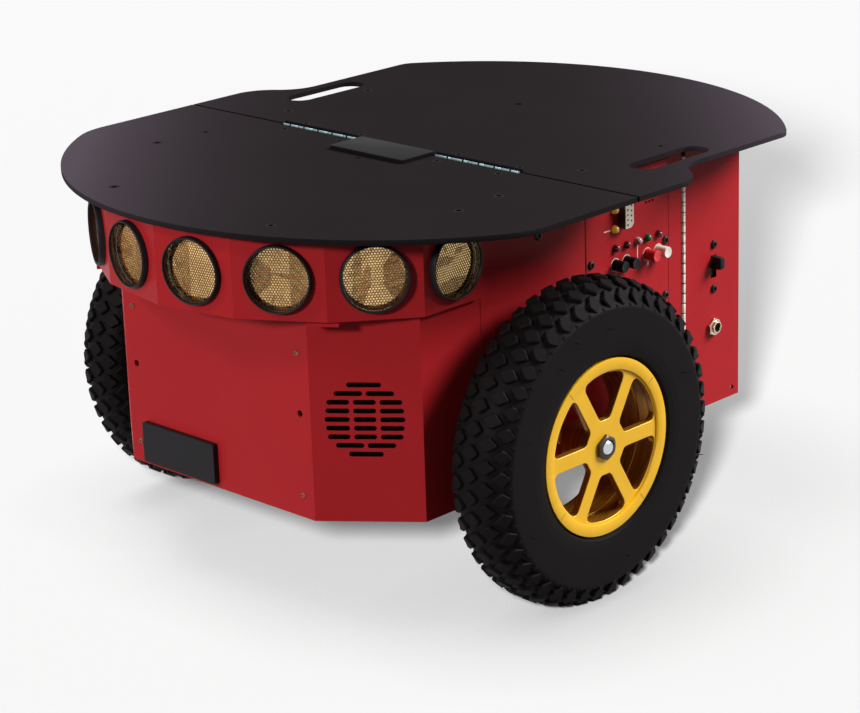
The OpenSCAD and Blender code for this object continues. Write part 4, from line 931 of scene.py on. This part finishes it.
def makeThumbscrews():  # knurled round the head, dished on its face
    shape = bmesh.new()
    steps, shankR = thumbscrew["steps"], thumbscrew["shankR"]
    for low, high in solidsOf("door_thumbscrews"):
        middle = (low + high) / 2
        outer = (high.z - low.z) / 2
        length = high.y - low.y
        place = facing((middle.x, low.y, middle.z), (0, 1, 0))
        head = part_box("battery_door")[1][1] - low.y
        turned(shape, place, [(0, 0), (0, 2.0 * mm), (0.4 * mm, shankR), (head, shankR)], 48, 1)
        rings = circleRings(shape, place, [(head, shankR)], steps)
        for level, size, toothed in ((head, 0.96, 0), (head + 0.7 * mm, 1.0, 1), (length - 1.1 * mm, 1.0, 1),
                                     (length - 0.4 * mm, 0.93, 0), (length, 0.86, 0)):
            outline = [(math.tau * step / steps, outer * size - toothed * thumbscrew["tooth"] * (step % 4 < 2))
                       for step in range(steps)]
            rings.append(ring(shape, place, polarPoints(outline), level))
        rings += circleRings(shape, place, [(length, outer * thumbscrew["faceR"]),
                                            (length - thumbscrew["dish"], outer * thumbscrew["dishR"])], steps)
        joinRings(shape, rings)
        shape.faces.new(rings[-1])
    addPiece("knurled_thumbscrews", shape, ["blackScrew", "motor"], "battery_door",
             ["door_thumbscrews"])


makeDeckScrews("chassis_screws", "chassis")
makeDeckScrews("front_deck_screws", "front_deck")
makeNoseScrews()
makeThumbscrews()
print("screws made")


# Control panel

lens = dict(base=2.5 * mm, dome=2.35 * mm,
            order=("amberLens", "amberLens", "redLens", "redLens", "clearLens", "greenLens", "redLens"))
caps = dict(aux_button="blackButton", mode_button="blackButton", reset_button="redButton",
            motors_button="whiteButton")
cap = dict(chamfer=0.45 * mm, flange=4.55 * mm, flangeThick=1.6 * mm, radius=3.48 * mm)
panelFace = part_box("control_panel")[1][0]


def onPanel(middle, turn=0.0):  # a place on the panel's face, pointing out of it
    return facing((panelFace, middle[1], middle[2]), (1, 0, 0), turn)


def makeLenses():
    shape = bmesh.new()
    used = list(dict.fromkeys(lens["order"]))
    for (low, high), finish in zip(solidsOf("status_leds"), lens["order"]):
        out = high.x - panelFace
        dome = [(out - lens["dome"] + lens["dome"] * math.sin(angle), lens["dome"] * math.cos(angle))
                for angle in [math.radians(10 * step) for step in range(9)]]
        base = [(low.x - panelFace, 0), (low.x - panelFace, lens["base"]), (0.35 * mm, lens["base"]),
                (0.55 * mm, lens["dome"])]
        turned(shape, onPanel((low + high) / 2), base + dome + [(out, 0)], 32, used.index(finish))
    addPiece("status_led_lenses", shape, used, "chassis", ["status_leds"])


def makeCaps():
    for node, finish in caps.items():
        low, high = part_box(node)
        middle = middleOf(node)
        length = high[0] - low[0]
        shape = bmesh.new()
        place = facing((low[0], middle.y, middle.z), (1, 0, 0))
        edge, radius = cap["chamfer"], cap["radius"]
        turned(shape, place, [(0, 0), (0, cap["flange"]), (cap["flangeThick"], cap["flange"]),
                              (cap["flangeThick"], radius), (length - edge, radius),
                              (length - edge * 0.3, radius - edge * 0.3), (length, radius - edge),
                              (length - 0.12 * mm, radius - edge - 0.5 * mm), (length - 0.2 * mm, 0)], 48)
        addPiece(node.replace("button", "button_cap"), shape, [finish], node, [node])


# Lines in millimetres: down is (Y, top, bottom) and along is (Z, start, end)
printing = dict(lift=0.05 * mm, ringIn=3.75 * mm, ringOut=4.20 * mm, lineWide=0.7 * mm,
                down=((45.3, 190.6, 182.6), (55.0, 178.4, 175.4)), along=((205.6, 14.4, 20.2), (219.3, 6.8, 12.2)))


def makePrinting():  # rings round the buttons and short leader lines
    shape = bmesh.new()
    lift, ringIn, ringOut, wide = (printing[key] for key in ("lift", "ringIn", "ringOut", "lineWide"))
    band = [(0, ringIn), (lift, ringIn), (lift, ringOut), (0, ringOut), (0, ringIn)]
    for node in caps:
        turned(shape, onPanel(middleOf(node)), band, 64)
    lines = [(y, (high + low) / 2, wide, (high - low) * mm) for y, high, low in printing["down"]]
    lines += [((start + end) / 2, z, (end - start) * mm, wide) for z, start, end in printing["along"]]
    for y, z, width, height in lines:
        prism(shape, onPanel((0, y * mm, z * mm)), boxOutline(width, height), 0, lift)
    bmesh.ops.remove_doubles(shape, verts=shape.verts, dist=0.001 * mm)
    addPiece("panel_print_lines", shape, ["printWhite"], "chassis")


socket = dict(inset=0.45 * mm, pinR=0.66 * mm, pitch=3.1 * mm, left=-1.75 * mm, right=1.75 * mm, cut=2.3 * mm,
              smallCut=0.9 * mm, corner=0.35 * mm, faceThick=0.6 * mm)


def socketOutline(wide, tall, grow=0.0):  # a D outline, its right side shorter, Y up
    x, y = wide / 2 + grow, tall / 2 + grow
    cut, small, corner = socket["cut"], socket["smallCut"], socket["corner"]
    return [(-x + corner, -y), (x - cut, -y), (x - corner * 0.4, -y + cut * 0.86), (x, -y + cut + corner),
            (x, y - small), (x - small, y), (-x + corner, y), (-x, y - corner), (-x, -y + corner)]


def outwards(node):  # the back of a piece, pointing out of the body, and its length, width and height
    low, high = (Vector(corner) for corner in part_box(node))
    middle = middleOf(node)
    return facing((low.x, middle.y, middle.z), (1, 0, 0)), high - low


def makeSocket():
    shape = bmesh.new()
    place, (length, wide, tall) = outwards("serial_connector")
    inset = socket["inset"]
    rings = [ring(shape, place, socketOutline(wide, tall, -inwards), level)
             for level, inwards in ((0, 0), (length - 0.25 * mm, 0), (length - 0.05 * mm, 0.2 * mm),
                                    (length - 0.1 * mm, inset), (length - 1.4 * mm, inset))]
    joinRings(shape, rings[:3], 0)
    joinRings(shape, rings[2:4], 1)
    joinRings(shape, rings[3:], 0)
    shape.faces.new(list(reversed(rings[0]))).material_index = 0
    shape.faces.new(rings[-1]).material_index = 2
    pins = [(socket["left"], (row - 2) * socket["pitch"]) for row in range(5)]
    pins += [(socket["right"], 0.55 * mm + (row - 1.5) * socket["pitch"]) for row in range(4)]
    holes = [[(x + px, y + py) for px, py in circlePoints(socket["pinR"], 16)] for x, y in pins]
    face = plateFrom([socketOutline(wide, tall, -inset), *holes], socket["faceThick"], 0.04 * mm)
    addPlate(shape, face, place @ Matrix.Translation((0, 0, length - 0.02 * mm - socket["faceThick"] / 2)), 1, 2)
    addPiece("serial_socket", shape, ["socketSide", "socketCream", "bore"], "chassis",
             ["serial_connector"])


makeLenses()
makeCaps()
makePrinting()
makeSocket()
print("control panel made")


# Power switch and charge jack

switch = dict(case=11.95 * mm, corner=1.2 * mm, screwsAt=14.5 * mm, screwR=2.75 * mm, screwOut=0.25 * mm,
              knobCorner=1.1 * mm)


def makeSwitch():
    shape = bmesh.new()
    place, (length, wide, tall) = outwards("power_switch_body")
    prism(shape, place, boxOutline(wide, tall, switch["corner"]), 0, switch["case"], 0.3 * mm)
    middle, out = middleOf("power_switch_body"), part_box("power_switch_body")[1][0] - panelFace
    for offset in (-switch["screwsAt"], switch["screwsAt"]):
        screw(shape, onPanel(middle + Vector((0, 0, offset)), offset * 900), switch["screwR"], out + switch["screwOut"],
              5 * mm)
    addPiece("power_switch_case", shape, ["blackPlastic", "bore"], "battery_door",
             ["power_switch_body"])
    shape = bmesh.new()
    place, (length, wide, tall) = outwards("power_switch_knob")
    rings = [ring(shape, place, boxOutline(wide * size, tall * size, switch["knobCorner"] * size), level)
             for level, size in ((0, 1.0), (length * 0.55, 1.0), (length - 1.6 * mm, 0.98), (length - 0.7 * mm, 0.93),
                                 (length - 0.2 * mm, 0.84), (length, 0.70))]
    joinRings(shape, rings)
    shape.faces.new(rings[-1])
    shape.faces.new(list(reversed(rings[0])))
    addPiece("power_switch_slider", shape, ["blackPlastic"], "power_switch_knob",
             ["power_switch_knob"])


jack = dict(flat=5.1 * mm, steps=48, turn=8, boreR=2.8 * mm, boreDeep=11 * mm, tubeR=3.95 * mm, stemR=4.3 * mm,
            bodyR=5.8 * mm, bodyAt=-2.2 * mm)


def makeJack():
    shape = bmesh.new()
    low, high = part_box("charge_jack")
    place = onPanel(middleOf("charge_jack"), math.radians(jack["turn"]))
    back, out = low[0] - panelFace, high[0] - panelFace
    flat, tubeR, stemR, bodyR = jack["flat"], jack["tubeR"], jack["stemR"], jack["bodyR"]

    def rounds(*profile):
        return circleRings(shape, place, profile, jack["steps"])

    nut = hexRings(shape, place, flat, jack["steps"],
                   ((0, math.inf), (1.5 * mm, math.inf), (1.95 * mm, flat + 0.25 * mm)))
    tube = rounds((2.1 * mm, 4.4 * mm), (2.15 * mm, tubeR), (out - 0.5 * mm, tubeR),
                  (out - 0.15 * mm, tubeR - 0.2 * mm), (out, tubeR - 0.5 * mm), (out - 0.1 * mm, 3.0 * mm),
                  (out - 0.5 * mm, jack["boreR"]))
    joinRings(shape, nut + tube)
    inside = [tube[-1]] + rounds((out - jack["boreDeep"], jack["boreR"]))
    joinRings(shape, inside, 1)
    shape.faces.new(inside[-1]).material_index = 1
    behind = [nut[0]] + rounds((0, stemR), (jack["bodyAt"], stemR), (jack["bodyAt"], bodyR), (back, bodyR))
    joinRings(shape, behind)
    shape.faces.new(behind[-1])
    addPiece("charge_jack_socket", shape, ["jack", "bore"], "battery_door", ["charge_jack"])


makeSwitch()
makeJack()
print("switch and jack made")


# Stage: floor, world, lamps and camera

camera = dict(place=(1.1486, -1.1670, 0.6509), azimuth=44.63, elevation=18.46, roll=-1.89, lens=113.77)


def headingTo(azimuth, height):  # degrees from the front towards +X, and upwards
    turn, rise = math.radians(azimuth), math.radians(height)
    return Vector((math.sin(turn) * math.cos(rise), -math.cos(turn) * math.cos(rise), math.sin(rise)))


def makeCamera():
    azimuth, roll = math.radians(camera["azimuth"]), math.radians(camera["roll"])
    back = headingTo(camera["azimuth"], camera["elevation"])
    right = Vector((math.cos(azimuth), math.sin(azimuth), 0))
    tilted = right * math.cos(roll) + back.cross(right) * math.sin(roll)
    data = bpy.data.cameras.new("camera")
    data.lens = camera["lens"]
    data.sensor_width = 36
    data.sensor_fit = "HORIZONTAL"
    made = bpy.data.objects.new("camera", data)
    turn = Matrix((tilted, back.cross(tilted), back)).transposed().to_4x4()
    made.matrix_world = Matrix.Translation(camera["place"]) @ turn
    bpy.context.collection.objects.link(made)
    bpy.context.scene.camera = made


# Distant lamps: some light the robot and the others only the floor, where they leave its shadow
lamps = [
    dict(name="front", heading=2, height=22, spread=9, power=2.0, onFloor=False),
    dict(name="key", heading=-32, height=42, spread=12, power=0.75, onFloor=False),
    dict(name="rear", heading=142, height=37, spread=30, power=6.1, onFloor=False),
    dict(name="rearLeft", heading=-135, height=36, spread=40, power=1.3, onFloor=False),
    dict(name="overFloor", heading=-55, height=74, spread=30, power=3.6, onFloor=True)]

# A round lamp low in front that lights only the floor: the shadow behind the robot is its work
floorLamp = dict(place=(1.0730, -1.2416, 0.7250), radius=0.075, power=1500)


def addLamp(name, kind, power, lit):  # lit is the set of objects that the lamp lights
    data = bpy.data.lights.new(name, kind)
    data.energy = power
    made = bpy.data.objects.new(name, data)
    bpy.context.collection.objects.link(made)
    made.light_linking.receiver_collection = lit
    return made


def makeLamp(name, heading, height, spread, power, onFloor):
    made = addLamp(name, "SUN", power, floorOnly if onFloor else floorLeftOut)
    made.data.angle = math.radians(spread)
    made.matrix_world = (-headingTo(heading, height)).to_track_quat("-Z", "Y").to_matrix().to_4x4()


def makeFloorLamp():
    made = addLamp("floorLamp", "POINT", floorLamp["power"], floorOnly)
    made.data.shadow_soft_size = floorLamp["radius"]
    made.location = floorLamp["place"]


# fill lights the robot, seen is what the camera and glossy pieces see, bounce is the floor's colour for
# the light that it throws back, own is the share of the floor that shines by itself, and that glow falls to dark within
# near by ambient occlusion, a painted contact shadow
backdrop = dict(fill=0.07, tint=(1, 0.97, 0.99), seen=0.93, bounce=0.10, own=0.35, near=0.09, dark=0.0, half=8)


def makeWorld():
    world = bpy.data.worlds.new("world")
    bpy.context.scene.world = world
    world.use_nodes = True
    tree = world.node_tree
    tree.nodes["Background"].inputs["Strength"].default_value = backdrop["fill"]
    tree.nodes["Background"].inputs["Color"].default_value = (*backdrop["tint"], 1)
    seen = tree.nodes.new("ShaderNodeBackground")
    seen.inputs["Color"].default_value = (*[backdrop["seen"]] * 3, 1)
    mix = tree.nodes.new("ShaderNodeMixShader")
    path = tree.nodes.new("ShaderNodeLightPath")
    either = tree.nodes.new("ShaderNodeMath")
    either.operation = "MAXIMUM"
    for start, end in (
            (path.outputs["Is Camera Ray"], either.inputs[0]), (path.outputs["Is Glossy Ray"], either.inputs[1]),
            (either.outputs[0], mix.inputs[0]), (tree.nodes["Background"].outputs[0], mix.inputs[1]),
            (seen.outputs[0], mix.inputs[2]), (mix.outputs[0], tree.nodes["World Output"].inputs["Surface"])):
        tree.links.new(start, end)


def makeFloor():  # pale floor for the camera, dim for the light it throws back
    mesh = bpy.data.meshes.new("floor")
    half = backdrop["half"]
    mesh.from_pydata([(-half, -half, 0), (half, -half, 0), (half, half, 0), (-half, half, 0)], [], [(0, 1, 2, 3)])
    floor = bpy.data.objects.new("floor", mesh)
    paint = Paint("floorPaint")
    seen = paint.node("LightPath", output="Is Camera Ray") | paint.node("LightPath", output="Is Glossy Ray")
    place = paint.node("NewGeometry", output="Position")
    away = paint.node("VectorMath", {"operation": "DISTANCE"}, {0: place, 1: floorLamp["place"]}, output="Value")
    fromLamp = floorLamp["power"] * floorLamp["place"][2] / (4 * math.pi * away ** 3.0)
    fromAbove = sum(lamp["power"] * math.sin(math.radians(lamp["height"])) for lamp in lamps if lamp["onFloor"])
    evened = math.pi / (fromLamp + fromAbove)  # the colour that makes the lit floor look the same all over
    paint.finish({"Base Color": evened * paint.spread(seen, backdrop["bounce"], backdrop["seen"]),
                  "Roughness": 0.9, "Specular IOR Level": 0.0})
    # Painted contact shadow: ambient occlusion darkens the floor's own glow near the robot
    openSky = paint.node("AmbientOcclusion", {"samples": 8}, {"Distance": backdrop["near"]}, output="AO")
    level = paint.spread(openSky, backdrop["dark"], 1.0) * backdrop["seen"]
    glow = paint.node("Emission", None, {"Color": (1, 1, 1), "Strength": level})
    mixed = paint.node("MixShader", None, {0: seen * backdrop["own"], 1: Wire(paint, paint.shader.outputs[0]), 2: glow})
    paint.feed(paint.tree.nodes["Material Output"].inputs["Surface"], mixed)
    floor.data.materials.append(paint.material)
    bpy.context.collection.objects.link(floor)
    return floor


def receivers(floor, name, state):  # the set of objects that a lamp lights
    group = bpy.data.collections.new(name)
    group.objects.link(floor)
    group.collection_objects[0].light_linking.link_state = state
    return group


makeCamera()
makeWorld()
floor = makeFloor()
floorOnly = receivers(floor, "floorOnly", "INCLUDE")
floorLeftOut = receivers(floor, "floorLeftOut", "EXCLUDE")
for lamp in lamps:
    makeLamp(**lamp)
makeFloorLamp()
bpy.context.scene.view_settings.view_transform = "Standard"
print("stage made")
